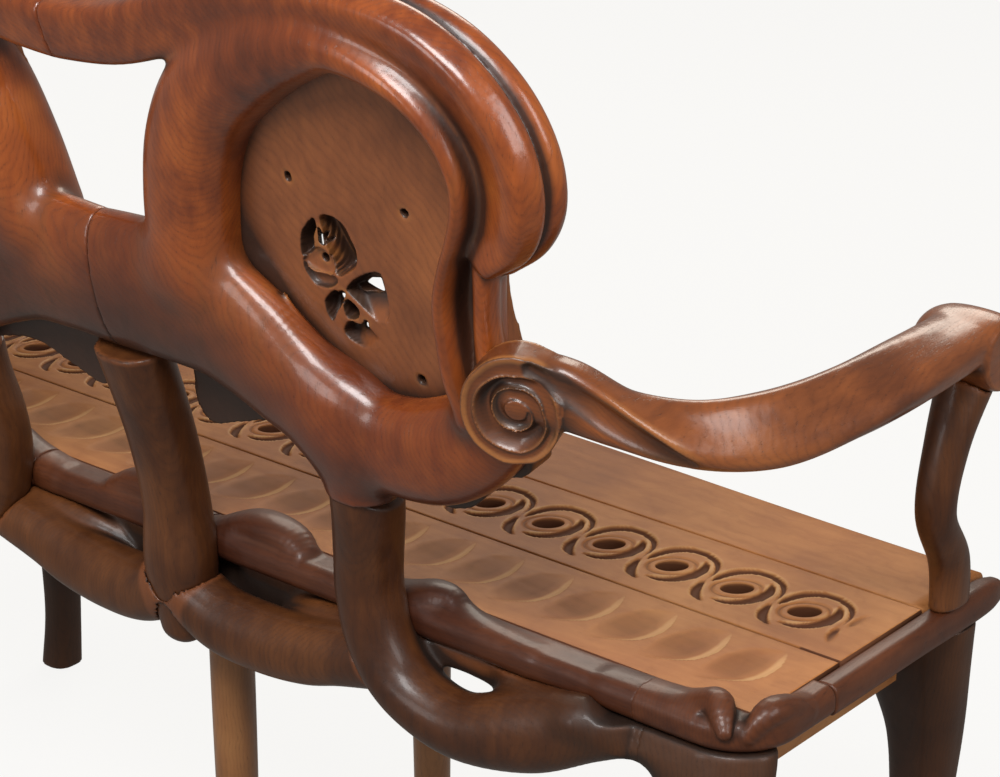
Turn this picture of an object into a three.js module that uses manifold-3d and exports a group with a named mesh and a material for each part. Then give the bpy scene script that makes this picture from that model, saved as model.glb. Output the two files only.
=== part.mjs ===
// Carved oak settee for two: a seat of three long boards on six legs, and a reclined back of two
// carved rings with scroll-ended arms. Millimetres, +Z up, and the front of the seat faces -Y.
// Each side piece is drawn once for the left side, +X, and mirrored for the right.
import * as THREE from 'three';
import { mergeVertices } from 'three/addons/utils/BufferGeometryUtils.js';
import Module from 'manifold-3d';

const wasm = await Module();
wasm.setup();

// Seat boards
const seatHeight = 430;
const seatHalfLength = 556;
const boardThickness = 26;
const rearBoardWidth = 109;
const middleBoardWidth = 116;
const frontBoardWidth = 85;
const frontBow = 14;
const noseReach = 9;
const boardGap = 1.6;
const glueGap = 0.3;

// Running scroll pierced through the middle board
const scrollCount = 16;
const scrollMargin = 36;
const eyeHalfLength = 15;
const eyeHalfWidth = 9;

// Rails, aprons and battens
const railDepth = 31;
const lumpHeight = 19;
const endRailWidth = 21;
const cornerReach = 74;
const apronThickness = 24;
const apronHeight = 46;
const battenWidth = 46;
const battenThickness = 22;

// Legs
const legHeadHalf = 55;
const legHeadHalfDepth = 30;
const legRadius = 21;
const rearLegStandoff = 8;
const frontLegInset = 44;
const legBow = 8;
const legTrim = 6;

// Reclined back, drawn in its own plane: across, up from the seat, and out from the boards' rear face
const recline = 12;
const backStandoff = 39.4;
const backHalfSpan = 464;
const backRise = 554;
const backBoardThickness = 26;
const frameDepth = 36;
const ringHalfWidth = 42;
const crestHalfWidth = 25;
const kneeHalfHeight = 66;
const leafHalfLength = 25;
const smallHoleRadius = 3.6;

// Arches and the middle post
const archJointUp = 104;
const archDrop = 73;
const archStandoff = 50;
const archRadius = 28;
const postHalfWidth = 30;

// Arms
const scrollRadius = 42;
const scrollTurn = 18;
const armUp = 232;
const armHalfWidth = 30;
const armSetback = 63;
const armOverhang = 6;
const rollRadius = 30;
const rollHalfWidth = 30;
const supportHalfWidth = 24;
const supportBow = 34;

// Dowels in the joints between knee and arch, and between arm support and end rail
const dowelRadius = 7;
const archDowelReach = 18;
const supportDowelReach = 12;

const colours = { frame: 0x6b3a20, board: 0x8d5c34, leg: 0x9a6a3f, dowel: 0xb08a5c };

// Geometry helpers

const point = (x, y, z) => new THREE.Vector3(x, y, z);
const mix = (from, to, share) => from + (to - from) * share;
const acrossX = point(1, 0, 0);
const deepY = point(0, 1, 0);
const upZ = point(0, 0, 1);

function toSolid(geometry) {
  const bare = geometry.clone();
  bare.deleteAttribute('normal');
  bare.deleteAttribute('uv');
  const merged = mergeVertices(bare, 1e-4);
  const mesh = new wasm.Mesh({
    numProp: 3,
    vertProperties: new Float32Array(merged.attributes.position.array),
    triVerts: new Uint32Array(merged.index.array),
  });
  return new wasm.Manifold(mesh);
}

function toGeometry(solid) {
  const mesh = solid.getMesh();
  const geometry = new THREE.BufferGeometry();
  geometry.setAttribute('position', new THREE.BufferAttribute(new Float32Array(mesh.vertProperties), 3));
  geometry.setIndex(new THREE.BufferAttribute(new Uint32Array(mesh.triVerts), 1));
  geometry.computeVertexNormals();
  return geometry;
}

// A closed skin through rings of equal point count, with a fan over both ends
function loft(rings) {
  const count = rings[0].length;
  const positions = [];
  const faces = [];
  rings.forEach((ring) => ring.forEach((p) => positions.push(p.x, p.y, p.z)));
  for (let r = 0; r < rings.length - 1; r++) {
    for (let i = 0; i < count; i++) {
      const a = r * count + i;
      const b = r * count + ((i + 1) % count);
      faces.push(a, b, b + count, a, b + count, a + count);
    }
  }
  [0, rings.length - 1].forEach((r) => {
    const centre = rings[r].reduce((sum, p) => sum.add(p), point(0, 0, 0)).divideScalar(count);
    const hub = positions.length / 3;
    positions.push(centre.x, centre.y, centre.z);
    for (let i = 0; i < count; i++) {
      const a = r * count + i;
      const b = r * count + ((i + 1) % count);
      faces.push(...(r === 0 ? [b, a, hub] : [a, b, hub]));
    }
  });
  let volume = 0;
  for (let f = 0; f < faces.length; f += 3) {
    const [a, b, c] = [0, 1, 2].map((k) => point(0, 0, 0).fromArray(positions, faces[f + k] * 3));
    volume += a.dot(b.cross(c));
  }
  if (volume < 0) {
    for (let f = 0; f < faces.length; f += 3) {
      [faces[f + 1], faces[f + 2]] = [faces[f + 2], faces[f + 1]];
    }
  }
  const geometry = new THREE.BufferGeometry();
  geometry.setAttribute('position', new THREE.BufferAttribute(new Float32Array(positions), 3));
  geometry.setIndex(faces);
  return toSolid(geometry);
}

// A carved limb through stations of [x, y, z, half size along side, half size across it]. Its section is
// a superellipse: exponent 2 is an ellipse and a higher one is squarer. grow makes it fatter all round
function limb(stations, side, { steps = 10, turns = 10, exponent = 2.2, grow = 0, endShare = 1 } = {}) {
  const route = new THREE.CatmullRomCurve3(stations.map(([x, y, z]) => point(x, y, z)), false, 'centripetal');
  const spans = stations.length - 1;
  const rings = [];
  for (let i = 0; i <= steps; i++) {
    const t = i / steps;
    const centre = route.getPoint(t);
    const along = route.getTangent(t);
    if (i === 0) centre.addScaledVector(along, -grow);
    if (i === steps) centre.addScaledVector(along, grow);
    const out = side.clone().addScaledVector(along, -side.dot(along)).normalize();
    const other = along.clone().cross(out).normalize();
    const low = Math.min(Math.floor(t * spans), spans - 1);
    const share = t * spans - low;
    const eased = share * share * (3 - 2 * share);
    const shrink = i === 0 || i === steps ? endShare : 1;
    const halfOut = mix(stations[low][3], stations[low + 1][3], eased) * shrink + grow;
    const halfOther = mix(stations[low][4], stations[low + 1][4], eased) * shrink + grow;
    const ring = [];
    for (let k = 0; k < turns; k++) {
      const angle = ((k + 0.5) / turns) * 2 * Math.PI;
      const c = Math.cos(angle);
      const s = Math.sin(angle);
      const u = Math.sign(c) * Math.abs(c) ** (2 / exponent) * halfOut;
      const v = Math.sign(s) * Math.abs(s) ** (2 / exponent) * halfOther;
      ring.push(centre.clone().addScaledVector(out, u).addScaledVector(other, v));
    }
    rings.push(ring);
  }
  return loft(rings);
}

function block(low, high) {
  const size = high.clone().sub(low);
  const box = new THREE.BoxGeometry(size.x, size.y, size.z);
  const middle = low.clone().add(high).multiplyScalar(0.5);
  box.translate(middle.x, middle.y, middle.z);
  return toSolid(box);
}

// A plate cut from an outline, between two levels. grow makes it fatter all round
function plate(outline, low, high, grow = 0, curveSegments = 4) {
  const shape = new THREE.ExtrudeGeometry(outline, {
    depth: high - low,
    bevelEnabled: grow > 0,
    bevelThickness: grow,
    bevelSize: grow,
    bevelSegments: 1,
    curveSegments,
  });
  shape.translate(0, 0, low);
  return toSolid(shape);
}

// A dowel reaches equally far to both sides of its joint
function dowel(joint, along, reach, grow = 0) {
  const stations = [-reach, reach].map((run) => {
    const end = joint.clone().addScaledVector(along, run);
    return [end.x, end.y, end.z, dowelRadius, dowelRadius];
  });
  return limb(stations, acrossX, { steps: 1, turns: 10, exponent: 2, grow });
}

const mirrored = (solid) => solid.mirror([1, 0, 0]);
const withMirror = (solid) => solid.add(mirrored(solid));
const cutAbove = (solid, level) => solid.trimByPlane([0, 0, -1], -level);
const cutBelow = (solid, level) => solid.trimByPlane([0, 0, 1], level);

// The back's plane: a solid drawn as across, up and out from it is stood up where it belongs
const lean = THREE.MathUtils.degToRad(recline);
const backMatrix = new THREE.Matrix4().makeBasis(
  acrossX,
  point(0, Math.sin(lean), Math.cos(lean)),
  point(0, Math.cos(lean), -Math.sin(lean)),
);
backMatrix.setPosition(0, backStandoff, seatHeight);
const stand = (solid) => solid.transform(backMatrix.elements);
const standPoint = (across, up, out) => point(across, up, out).applyMatrix4(backMatrix);

const bench = new THREE.Group();

function addPart(name, solid, colour, roughness = 0.4) {
  const material = new THREE.MeshStandardMaterial({ color: colour, roughness, metalness: 0 });
  const mesh = new THREE.Mesh(toGeometry(solid), material);
  mesh.name = name;
  bench.add(mesh);
}

function addPair(name, solid, colour, roughness) {
  addPart(`${name}_left`, solid, colour, roughness);
  addPart(`${name}_right`, mirrored(solid), colour, roughness);
}

// Levels that the pieces share
const seatUnderside = seatHeight - boardThickness;
const legTop = seatUnderside - glueGap;
const middleBoardRear = -rearBoardWidth - boardGap;
const middleBoardFront = middleBoardRear - middleBoardWidth;
const frontBoardRear = middleBoardFront - boardGap;
const frontBoardFront = frontBoardRear - frontBoardWidth;
const railRear = glueGap + railDepth;
const endRailInner = seatHalfLength + glueGap;
const endRailOuter = endRailInner + endRailWidth;
const endRailMiddle = (endRailInner + endRailOuter) / 2;
const cornerLegAt = endRailOuter - legHeadHalf - glueGap;

// Seat boards
function rearBoard() {
  return block(point(-seatHalfLength, -rearBoardWidth, seatUnderside), point(seatHalfLength, 0, seatHeight));
}

function middleBoard() {
  const outline = new THREE.Shape();
  outline.moveTo(-seatHalfLength, middleBoardFront);
  outline.lineTo(seatHalfLength, middleBoardFront);
  outline.lineTo(seatHalfLength, middleBoardRear);
  outline.lineTo(-seatHalfLength, middleBoardRear);
  const rowY = (middleBoardFront + middleBoardRear) / 2;
  const pitch = (2 * (seatHalfLength - scrollMargin)) / scrollCount;
  for (let i = 0; i < scrollCount; i++) {
    const eye = new THREE.Path();
    eye.absellipse((i - (scrollCount - 1) / 2) * pitch, rowY, eyeHalfLength, eyeHalfWidth, 0, 2 * Math.PI);
    outline.holes.push(eye);
  }
  return plate(outline, seatUnderside, seatHeight);
}

// The front board's rounded nose bows forwards at the middle of the bench
function frontBoard() {
  const stations = 12;
  const noseSides = 4;
  const rings = [];
  for (let i = 0; i <= stations; i++) {
    const share = (i / stations) * 2 - 1;
    const x = share * seatHalfLength;
    const nose = frontBoardFront - frontBow * Math.cos((share * Math.PI) / 2) ** 2;
    const ring = [point(x, frontBoardRear, seatUnderside), point(x, frontBoardRear, seatHeight)];
    for (let k = 0; k <= noseSides; k++) {
      const angle = Math.PI / 2 + (k / noseSides) * Math.PI;
      const rise = (boardThickness / 2) * (1 + Math.sin(angle));
      ring.push(point(x, nose + noseReach * Math.cos(angle), seatUnderside + rise));
    }
    rings.push(ring);
  }
  return loft(rings);
}

addPart('seat_board_rear', rearBoard(), colours.board, 0.5);
addPart('seat_board_middle', middleBoard(), colours.board, 0.5);
addPart('seat_board_front', frontBoard(), colours.board, 0.5);

// Rear rail: it swells into carved lumps, given as shares of the seat's half length
const lumpShares = [[0.04, 0.22], [0.37, 0.6], [0.82, 1.02]];
const railJointShare = 0.369;
const cornerJointShare = 0.836;
const railJointAt = seatHalfLength * railJointShare;
const cornerJointAt = seatHalfLength * cornerJointShare;

function lumpAt(across) {
  const share = Math.abs(across) / seatHalfLength;
  let rise = 0;
  lumpShares.forEach(([from, to]) => {
    if (share > from && share < to) rise = Math.sin(((share - from) / (to - from)) * Math.PI) ** 0.7;
  });
  return rise * lumpHeight;
}

function railSection(x, grow) {
  const front = glueGap - grow;
  const rear = railRear + grow;
  const foot = seatUnderside - grow;
  const top = seatHeight + lumpAt(x) + grow;
  return [
    point(x, front, foot),
    point(x, front, mix(foot, top, 0.85)),
    point(x, mix(front, rear, 0.2), top),
    point(x, mix(front, rear, 0.6), mix(foot, top, 0.94)),
    point(x, rear, mix(foot, top, 0.62)),
    point(x, rear, mix(foot, top, 0.3)),
    point(x, mix(front, rear, 0.75), foot),
  ];
}

function rail(from, to, steps, grow = 0) {
  const rings = [];
  for (let i = 0; i <= steps; i++) rings.push(railSection(mix(from, to, i / steps), grow));
  return loft(rings);
}

const fatRail = rail(-endRailOuter, endRailOuter, 56, glueGap);
addPart('rail_rear_centre', rail(-railJointAt, railJointAt, 20), colours.frame);
addPair('rail_rear_side', rail(railJointAt + glueGap, cornerJointAt - glueGap, 12), colours.frame);

// Corner blocks wrap the boards' rear corners and carry the last lump of the rail
function cornerBlock(grow = 0) {
  const outline = new THREE.Shape();
  const rounding = railDepth * 0.7;
  const overlap = seatHalfLength * 0.97;
  outline.moveTo(overlap, glueGap);
  outline.lineTo(endRailInner, glueGap);
  outline.lineTo(endRailInner, -cornerReach);
  outline.lineTo(endRailOuter, -cornerReach);
  outline.lineTo(endRailOuter, railRear - rounding);
  outline.quadraticCurveTo(endRailOuter, railRear, endRailOuter - rounding, railRear);
  outline.lineTo(overlap, railRear);
  const crown = rail(cornerJointAt, seatHalfLength, 6, grow);
  return plate(outline, seatUnderside, seatHeight, grow, 3).add(crown);
}

addPair('corner_block', cornerBlock(), colours.frame);

// End rails run from the corner blocks to the front of the seat. An arm support is dowelled into each
const railHalfHeight = (seatHeight - seatUnderside) / 2;
const endRailFront = frontBoardFront - noseReach / 2;
const endRailStations = [0, 0.5, 1].map((share) => {
  const y = mix(-cornerReach - glueGap, endRailFront, share);
  return [endRailMiddle, y, seatUnderside + railHalfHeight, endRailWidth / 2, railHalfHeight];
});
const endRail = limb(endRailStations, acrossX, { steps: 5, turns: 12, exponent: 5, endShare: 0.9 });
const supportAt = frontBoardFront + armSetback;
const supportDowel = (grow) => dowel(point(endRailMiddle, supportAt, seatHeight), upZ, supportDowelReach, grow);
const supportBore = supportDowel(glueGap);
addPair('rail_end', endRail.subtract(supportBore), colours.frame);
addPair('dowel_support', supportDowel(0), colours.dowel, 0.7);

// Legs. The four corner legs have a wide head and a bowed shank, and the two in the middle are plain
const frontLegStandoff = frontBoardFront + frontLegInset;

function cornerLeg(standoff, bow, grow = 0) {
  const splay = legHeadHalf * 0.4;
  const foot = legRadius * 0.95;
  const ankle = legRadius * 0.86;
  const stations = [
    [cornerLegAt, standoff, legTop + legTrim, legHeadHalf, legHeadHalfDepth],
    [cornerLegAt + splay * 0.14, standoff + bow * 0.3, legTop * 0.9, legHeadHalf * 0.93, legHeadHalfDepth],
    [cornerLegAt + splay * 0.64, standoff + bow, legTop * 0.74, legHeadHalf * 0.6, legHeadHalfDepth * 0.88],
    [cornerLegAt + splay * 0.73, standoff + bow * 0.4, legTop * 0.42, legRadius, legRadius],
    [cornerLegAt + splay * 0.82, standoff + bow * 0.4, legTop * 0.15, ankle, ankle],
    [cornerLegAt + splay, standoff + bow, -legTrim, foot, foot],
  ];
  const shank = limb(stations, acrossX, { steps: 10, turns: 10, exponent: 2.8, grow });
  return cutBelow(cutAbove(shank, legTop + grow), -grow);
}

addPair('leg_rear', cornerLeg(rearLegStandoff, legBow), colours.frame);
addPair('leg_front', cornerLeg(frontLegStandoff, -legBow), colours.frame);

function middleLeg(standoff, top) {
  const foot = legRadius * 0.86;
  const stations = [
    [0, standoff, top, legRadius, legRadius],
    [0, standoff, top * 0.6, legRadius, legRadius],
    [0, standoff, 0, foot, foot],
  ];
  return limb(stations, acrossX, { steps: 4, turns: 14, exponent: 2 });
}

addPart('leg_rear_centre', middleLeg(-rearLegStandoff, legTop), colours.leg);
addPart('leg_front_centre', middleLeg(frontLegStandoff, legTop), colours.leg);

// Aprons below the boards' front and ends, and battens that tie the boards together
const apronTop = legTop;
const apronFoot = apronTop - apronHeight;
const halfApron = apronThickness / 2;
const headClearance = legHeadHalfDepth + legBow;
const apronFront = block(
  point(legRadius + glueGap, frontLegStandoff - halfApron, apronFoot),
  point(cornerLegAt - legHeadHalf - glueGap, frontLegStandoff + halfApron, apronTop),
);
addPair('apron_front', apronFront, colours.board);

const apronEnd = block(
  point(cornerLegAt - halfApron, frontLegStandoff + headClearance, apronFoot),
  point(cornerLegAt + halfApron, rearLegStandoff - headClearance, apronTop),
);
addPair('apron_end', apronEnd, colours.board);

const innerBattenShare = 0.27;
const outerBattenShare = 0.675;

function batten(share) {
  const at = seatHalfLength * share;
  return block(
    point(at - battenWidth / 2, frontLegStandoff + halfApron + glueGap, apronTop - battenThickness),
    point(at + battenWidth / 2, -boardGap, apronTop),
  );
}

addPair('batten_inner', batten(innerBattenShare), colours.board);
addPair('batten_outer', batten(outerBattenShare), colours.board);

// Back boards: shields with a four-leaf piercing and three small holes. The frame stands behind them.
// Places on the back are shares of its half span and of its rise
const shieldShares = [
  [0.138, 0.224], [0.216, 0.242], [0.323, 0.264], [0.517, 0.213], [0.653, 0.195], [0.716, 0.204],
  [0.754, 0.235], [0.802, 0.292], [0.856, 0.312], [0.877, 0.35], [0.851, 0.487], [0.838, 0.574],
  [0.875, 0.653], [0.901, 0.7], [0.914, 0.744], [0.912, 0.789], [0.892, 0.838], [0.864, 0.875],
  [0.806, 0.921], [0.705, 0.94], [0.56, 0.939], [0.431, 0.912], [0.323, 0.874], [0.241, 0.812],
  [0.198, 0.722], [0.181, 0.632], [0.151, 0.433], [0.112, 0.271],
];
const leafShares = [
  { place: [0.502, 0.57], width: 0.52, length: 1, turn: -35 },
  { place: [0.565, 0.549], width: 0.36, length: 0.6, turn: 40 },
  { place: [0.599, 0.509], width: 0.36, length: 0.6, turn: -50 },
  { place: [0.526, 0.487], width: 0.44, length: 0.76, turn: 25 },
];
const smallHoleShares = [[0.453, 0.681], [0.694, 0.671], [0.668, 0.417]];
const shieldFacets = 56;
const onBack = ([across, up]) => point(across * backHalfSpan, up * backRise, 0);

function backBoard(grow = 0) {
  const outline = new THREE.Shape();
  const edge = new THREE.CatmullRomCurve3(shieldShares.map(onBack), true, 'centripetal');
  outline.setFromPoints(edge.getPoints(shieldFacets).slice(1));
  if (grow === 0) {
    leafShares.forEach(({ place, width, length, turn }) => {
      const { x, y } = onBack(place);
      const leaf = new THREE.Path();
      const angle = THREE.MathUtils.degToRad(turn);
      leaf.absellipse(x, y, width * leafHalfLength, length * leafHalfLength, 0, 2 * Math.PI, false, angle);
      outline.holes.push(leaf);
    });
    smallHoleShares.forEach((place) => {
      const { x, y } = onBack(place);
      const hole = new THREE.Path();
      hole.absarc(x, y, smallHoleRadius, 0, 2 * Math.PI);
      outline.holes.push(hole);
    });
  }
  return plate(outline, -backBoardThickness, 0, grow);
}

const fatBackBoard = backBoard(glueGap);
addPair('back_board', stand(backBoard()), colours.board);

// Knee: the heavy lower limb from the middle of the back to the arm's scroll, with a stem to the arch.
// Its shares are of the half span, the rise, the frame's depth twice, and the knee's half height
const kneeShares = [
  [-0.086, 0.451, 0.611, 0.667, 0.909], [0.129, 0.458, 0.611, 0.667, 0.939],
  [0.28, 0.466, 0.667, 0.722, 1], [0.409, 0.43, 0.722, 0.75, 0.909],
  [0.539, 0.37, 0.722, 0.778, 0.818], [0.69, 0.339, 0.667, 0.722, 0.758],
  [0.802, 0.361, 0.556, 0.611, 0.606], [0.866, 0.404, 0.444, 0.5, 0.394],
];
const stemAcrossShare = 0.511;
const stemTopShare = 0.388;
const stemAcross = backHalfSpan * stemAcrossShare;
const stemOut = frameDepth * 0.11;
const boxReach = 2 * seatHalfLength;

function kneeSolid(grow = 0) {
  const bodyStations = kneeShares.map(([across, up, out, halfDepth, halfHeight]) => [
    across * backHalfSpan, up * backRise, out * frameDepth, halfDepth * frameDepth, halfHeight * kneeHalfHeight,
  ]);
  const body = limb(bodyStations, upZ, { steps: 15, turns: 10, exponent: 2.4, grow });
  const stemTop = backRise * stemTopShare;
  const stemStations = [
    [stemAcross * 0.962, stemTop, frameDepth * 0.56, archRadius * 0.86, archRadius * 1.5],
    [stemAcross * 0.975, mix(archJointUp, stemTop, 0.5), frameDepth * 0.39, archRadius, archRadius * 1.36],
    [stemAcross, archJointUp, stemOut, archRadius * 1.036, archRadius * 1.107],
    [stemAcross, archJointUp - archRadius, stemOut, archRadius * 1.036, archRadius * 1.107],
  ];
  const stem = limb(stemStations, upZ, { steps: 5, turns: 10, grow });
  const keep = block(
    point(glueGap / 2 - grow, archJointUp + glueGap / 2 - grow, -boxReach),
    point(boxReach, boxReach, boxReach),
  );
  return body.add(stem).intersect(keep);
}

const fatKnee = kneeSolid(glueGap);
const dowelPlace = point(stemAcross, archJointUp, frameDepth * 0.36);
const archDowel = (grow) => dowel(dowelPlace, deepY, archDowelReach, grow);
const archBore = archDowel(glueGap);
addPair('knee', stand(kneeSolid().subtract(fatBackBoard).subtract(archBore)), colours.frame);
addPair('dowel_arch', stand(archDowel(0)), colours.dowel, 0.7);

// Ring: a roll round the opening, slim beside the arm and broad towards the middle of the back.
// Its shares are of the half span, the rise and the ring's half width
const ringShares = [
  [0.819, 0.406, 0.31], [0.812, 0.511, 0.286], [0.821, 0.596, 0.286], [0.858, 0.671, 0.286],
  [0.89, 0.745, 0.286], [0.879, 0.807, 0.333], [0.828, 0.868, 0.381], [0.744, 0.908, 0.405],
  [0.647, 0.917, 0.476], [0.539, 0.908, 0.548], [0.431, 0.866, 0.643], [0.336, 0.791, 0.738],
  [0.276, 0.704, 0.833], [0.237, 0.614, 0.952], [0.216, 0.514, 1],
];

function ringSolid(grow = 0) {
  const level = frameDepth / 2 + glueGap;
  const stations = ringShares.map(([across, up, halfWidth]) => [
    across * backHalfSpan, up * backRise, level, frameDepth / 2, halfWidth * ringHalfWidth,
  ]);
  return limb(stations, upZ, { steps: 30, turns: 10, grow });
}

const fatRing = ringSolid(glueGap);
const ring = ringSolid().subtract(fatKnee).subtract(fatBackBoard);
addPair('back_ring', stand(ring), colours.frame);

// Crest: two rounded lobes with a groove between them, over the top and down the outer side.
// Its shares are of the half span, the rise and the crest's half width
const crestShares = [
  [-0.065, 0.838, 0.92], [0.129, 0.852, 0.92], [0.259, 0.888, 0.96], [0.388, 0.931, 1],
  [0.517, 0.957, 0.92], [0.647, 0.964, 0.8], [0.754, 0.949, 0.72], [0.858, 0.908, 0.72],
  [0.933, 0.847, 0.76], [0.957, 0.776, 0.8], [0.944, 0.713, 0.76], [0.905, 0.664, 0.6],
  [0.866, 0.635, 0.36],
];
const lobeShares = [
  { level: 0.5, halfDepth: 0.5, drop: 0, inset: 0 },
  { level: -0.28, halfDepth: 0.45, drop: 0.17, inset: 0.08 },
];

function crestSolid(grow = 0) {
  const [rear, front] = lobeShares.map(({ level, halfDepth, drop, inset }) => {
    const stations = crestShares.map(([across, up, halfWidth]) => [
      across * backHalfSpan - inset * frameDepth,
      up * backRise - drop * frameDepth,
      level * frameDepth,
      halfDepth * frameDepth,
      halfWidth * crestHalfWidth,
    ]);
    return limb(stations, upZ, { steps: 20, turns: 8, grow });
  });
  const keep = block(point(glueGap / 2 - grow, 0, -boxReach), point(boxReach, boxReach, boxReach));
  return rear.add(front).intersect(keep);
}

const fatCrest = crestSolid(glueGap);
const crest = crestSolid().subtract(fatRing).subtract(fatBackBoard).subtract(fatKnee);
addPair('back_crest', stand(crest), colours.frame);

// Main arch: from the knee's stem it hangs behind the rail and rises into the rear corner leg.
// Its shares run across from stem to leg, out from leg to stem, down the arch's drop, and of its radius
const archShares = [
  [-0.031, 1.19, -0.904, 1.036, 1.036], [-0.049, 1.024, -0.274, 1, 1], [-0.017, 0.976, 0.438, 1, 1],
  [0.101, 0.952, 0.904, 1, 0.964], [0.265, 0.929, 1, 0.964, 1.036], [0.479, 0.72, 0.8, 0.95, 1.3],
  [0.674, 0.52, 0.6, 0.95, 1.15], [0.919, 0.286, 0.603, 0.786, 0.786],
];
const archTop = standPoint(stemAcross, archJointUp + archRadius / 2, stemOut);

function archSolid(grow = 0) {
  const stations = archShares.map(([across, out, down, halfOut, halfOther]) => [
    mix(stemAcross, cornerLegAt, across),
    mix(rearLegStandoff, archStandoff, out),
    seatHeight - down * archDrop,
    halfOut * archRadius,
    halfOther * archRadius,
  ]);
  stations.unshift([archTop.x, archTop.y, archTop.z, archRadius * 1.107, archRadius * 1.036]);
  const body = limb(stations, deepY, { steps: 20, turns: 10, exponent: 2.1, grow });
  const above = block(
    point(-boxReach, archJointUp - glueGap / 2 + grow, -boxReach),
    point(boxReach, boxReach, boxReach),
  );
  return body.subtract(stand(above));
}

const fatArch = archSolid(glueGap);
const fatLeg = cornerLeg(rearLegStandoff, legBow, glueGap);
const arch = archSolid()
  .subtract(fatRail)
  .subtract(fatLeg)
  .subtract(cornerBlock(glueGap))
  .subtract(stand(archBore));
addPair('arch', arch, colours.frame);

// Post at the middle of the back, and the smaller arches that spring from its foot.
// The post's shares are of the arch's standoff and drop, and of the post's half width twice
const postShares = [
  [1.24, -1.315, 1, 0.867], [0.96, -0.329, 1, 0.867], [0.92, 0.411, 1.15, 0.9], [0.92, 1.151, 0.7, 0.6],
];
const postHead = standPoint(0, backRise * stemTopShare, frameDepth * 0.45);

function postSolid(grow = 0) {
  const stations = postShares.map(([out, down, halfAcross, halfOut]) => [
    0, out * archStandoff, seatHeight - down * archDrop, halfAcross * postHalfWidth, halfOut * postHalfWidth,
  ]);
  stations.unshift([0, postHead.y, postHead.z, postHalfWidth * 1.2, postHalfWidth * 0.87]);
  return limb(stations, acrossX, { steps: 8, turns: 10, grow });
}

const fatPost = postSolid(glueGap);
const post = postSolid()
  .subtract(withMirror(stand(fatKnee)))
  .subtract(withMirror(stand(fatBackBoard)))
  .subtract(fatRail);
addPart('post_centre', post, colours.frame);

// Its shares run across from post to stem, and are of the arch's standoff, drop and radius twice
const centreArchShares = [
  [0.025, 0.92, 0.603, 0.929, 0.929], [0.194, 0.88, 0.822, 0.929, 1.143],
  [0.388, 0.84, 0.849, 0.893, 1.214], [0.591, 0.82, 0.74, 0.821, 1.071],
  [0.743, 0.82, 0.575, 0.75, 0.857], [0.979, 0.84, 0.329, 0.679, 0.679],
];
const centreArchStations = centreArchShares.map(([across, out, down, halfOut, halfOther]) => [
  across * stemAcross, out * archStandoff, seatHeight - down * archDrop, halfOut * archRadius, halfOther * archRadius,
]);
const centreArch = limb(centreArchStations, deepY, { steps: 10, turns: 10, exponent: 2.1 })
  .subtract(fatPost)
  .subtract(fatRail)
  .subtract(fatArch);
addPair('arch_centre', centreArch, colours.frame);

// Arms: a scroll on the back, a twisting band, and a rolled end at the front.
// The band's shares run from scroll to roll across and forwards, up the arm's height, and of its half width
const scrollAcrossShare = 0.918;
const scrollUpShare = 0.464;
const bandShares = [
  [0.135, 0.063, 1.103, 0.8, 0.433], [0.432, 0.126, 1.017, 0.8, 0.433], [0.676, 0.237, 0.966, 0.767, 0.5],
  [0.878, 0.379, 0.966, 0.667, 0.733], [0.973, 0.579, 1, 0.533, 0.933], [1, 0.789, 1.017, 0.5, 1],
  [1, 1, 1, 0.5, 1],
];
const scrollPlace = standPoint(backHalfSpan * scrollAcrossShare, backRise * scrollUpShare, frameDepth);
const turned = THREE.MathUtils.degToRad(scrollTurn);
const scrollAxis = point(Math.sin(turned), Math.cos(turned), -Math.sin(lean));
const armAcross = endRailMiddle + armOverhang;

function armSolid(grow = 0) {
  const discStations = [scrollRadius, scrollRadius / 2, 0].map((inward) => {
    const centre = scrollPlace.clone().addScaledVector(scrollAxis, -inward);
    return [centre.x, centre.y, centre.z, scrollRadius, scrollRadius];
  });
  const disc = limb(discStations, acrossX, { steps: 4, turns: 20, exponent: 2, grow, endShare: 0.93 });
  const bandStations = bandShares.map(([across, forward, up, halfUp, halfAcross]) => [
    mix(scrollPlace.x, armAcross, across),
    mix(scrollPlace.y, supportAt, forward),
    seatHeight + up * armUp,
    halfUp * armHalfWidth,
    halfAcross * armHalfWidth,
  ]);
  const band = limb(bandStations, upZ, { steps: 14, turns: 10, exponent: 2.3, grow });
  const rollStations = [-1, 0, 1].map((way) => [
    armAcross + way * rollHalfWidth, supportAt, seatHeight + armUp - rollRadius * 0.45, rollRadius, rollRadius,
  ]);
  const roll = limb(rollStations, upZ, { steps: 4, turns: 16, exponent: 2, grow, endShare: 0.85 });
  return disc.add(band).add(roll);
}

const arm = armSolid()
  .subtract(stand(fatBackBoard))
  .subtract(stand(fatRing))
  .subtract(stand(fatKnee))
  .subtract(stand(fatCrest));
addPair('arm', arm, colours.frame);

// Supports stand on the end rails and meet the rolled ends of the arms from below.
// Their shares are of the rise from rail to roll, of the bow, and of the half width twice
const supportShares = [
  [1, 0, 1, 0.83], [0.74, 0.76, 0.75, 0.67], [0.45, 1, 0.67, 0.63], [0.2, 0.18, 0.63, 0.75],
];
const supportRise = armUp - rollRadius;
const supportStations = supportShares.map(([up, back, halfAcross, halfOther]) => [
  endRailMiddle + up * armOverhang,
  supportAt + back * supportBow,
  seatHeight + up * supportRise,
  halfAcross * supportHalfWidth,
  halfOther * supportHalfWidth,
]);
supportStations.push([endRailMiddle, supportAt, seatHeight - legTrim, endRailWidth / 2, supportHalfWidth]);
const supportBody = limb(supportStations, acrossX, { steps: 10, turns: 10 }).subtract(armSolid(glueGap));
const support = cutBelow(supportBody, seatHeight + glueGap).subtract(supportBore);
addPair('arm_support', support, colours.frame);

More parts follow.
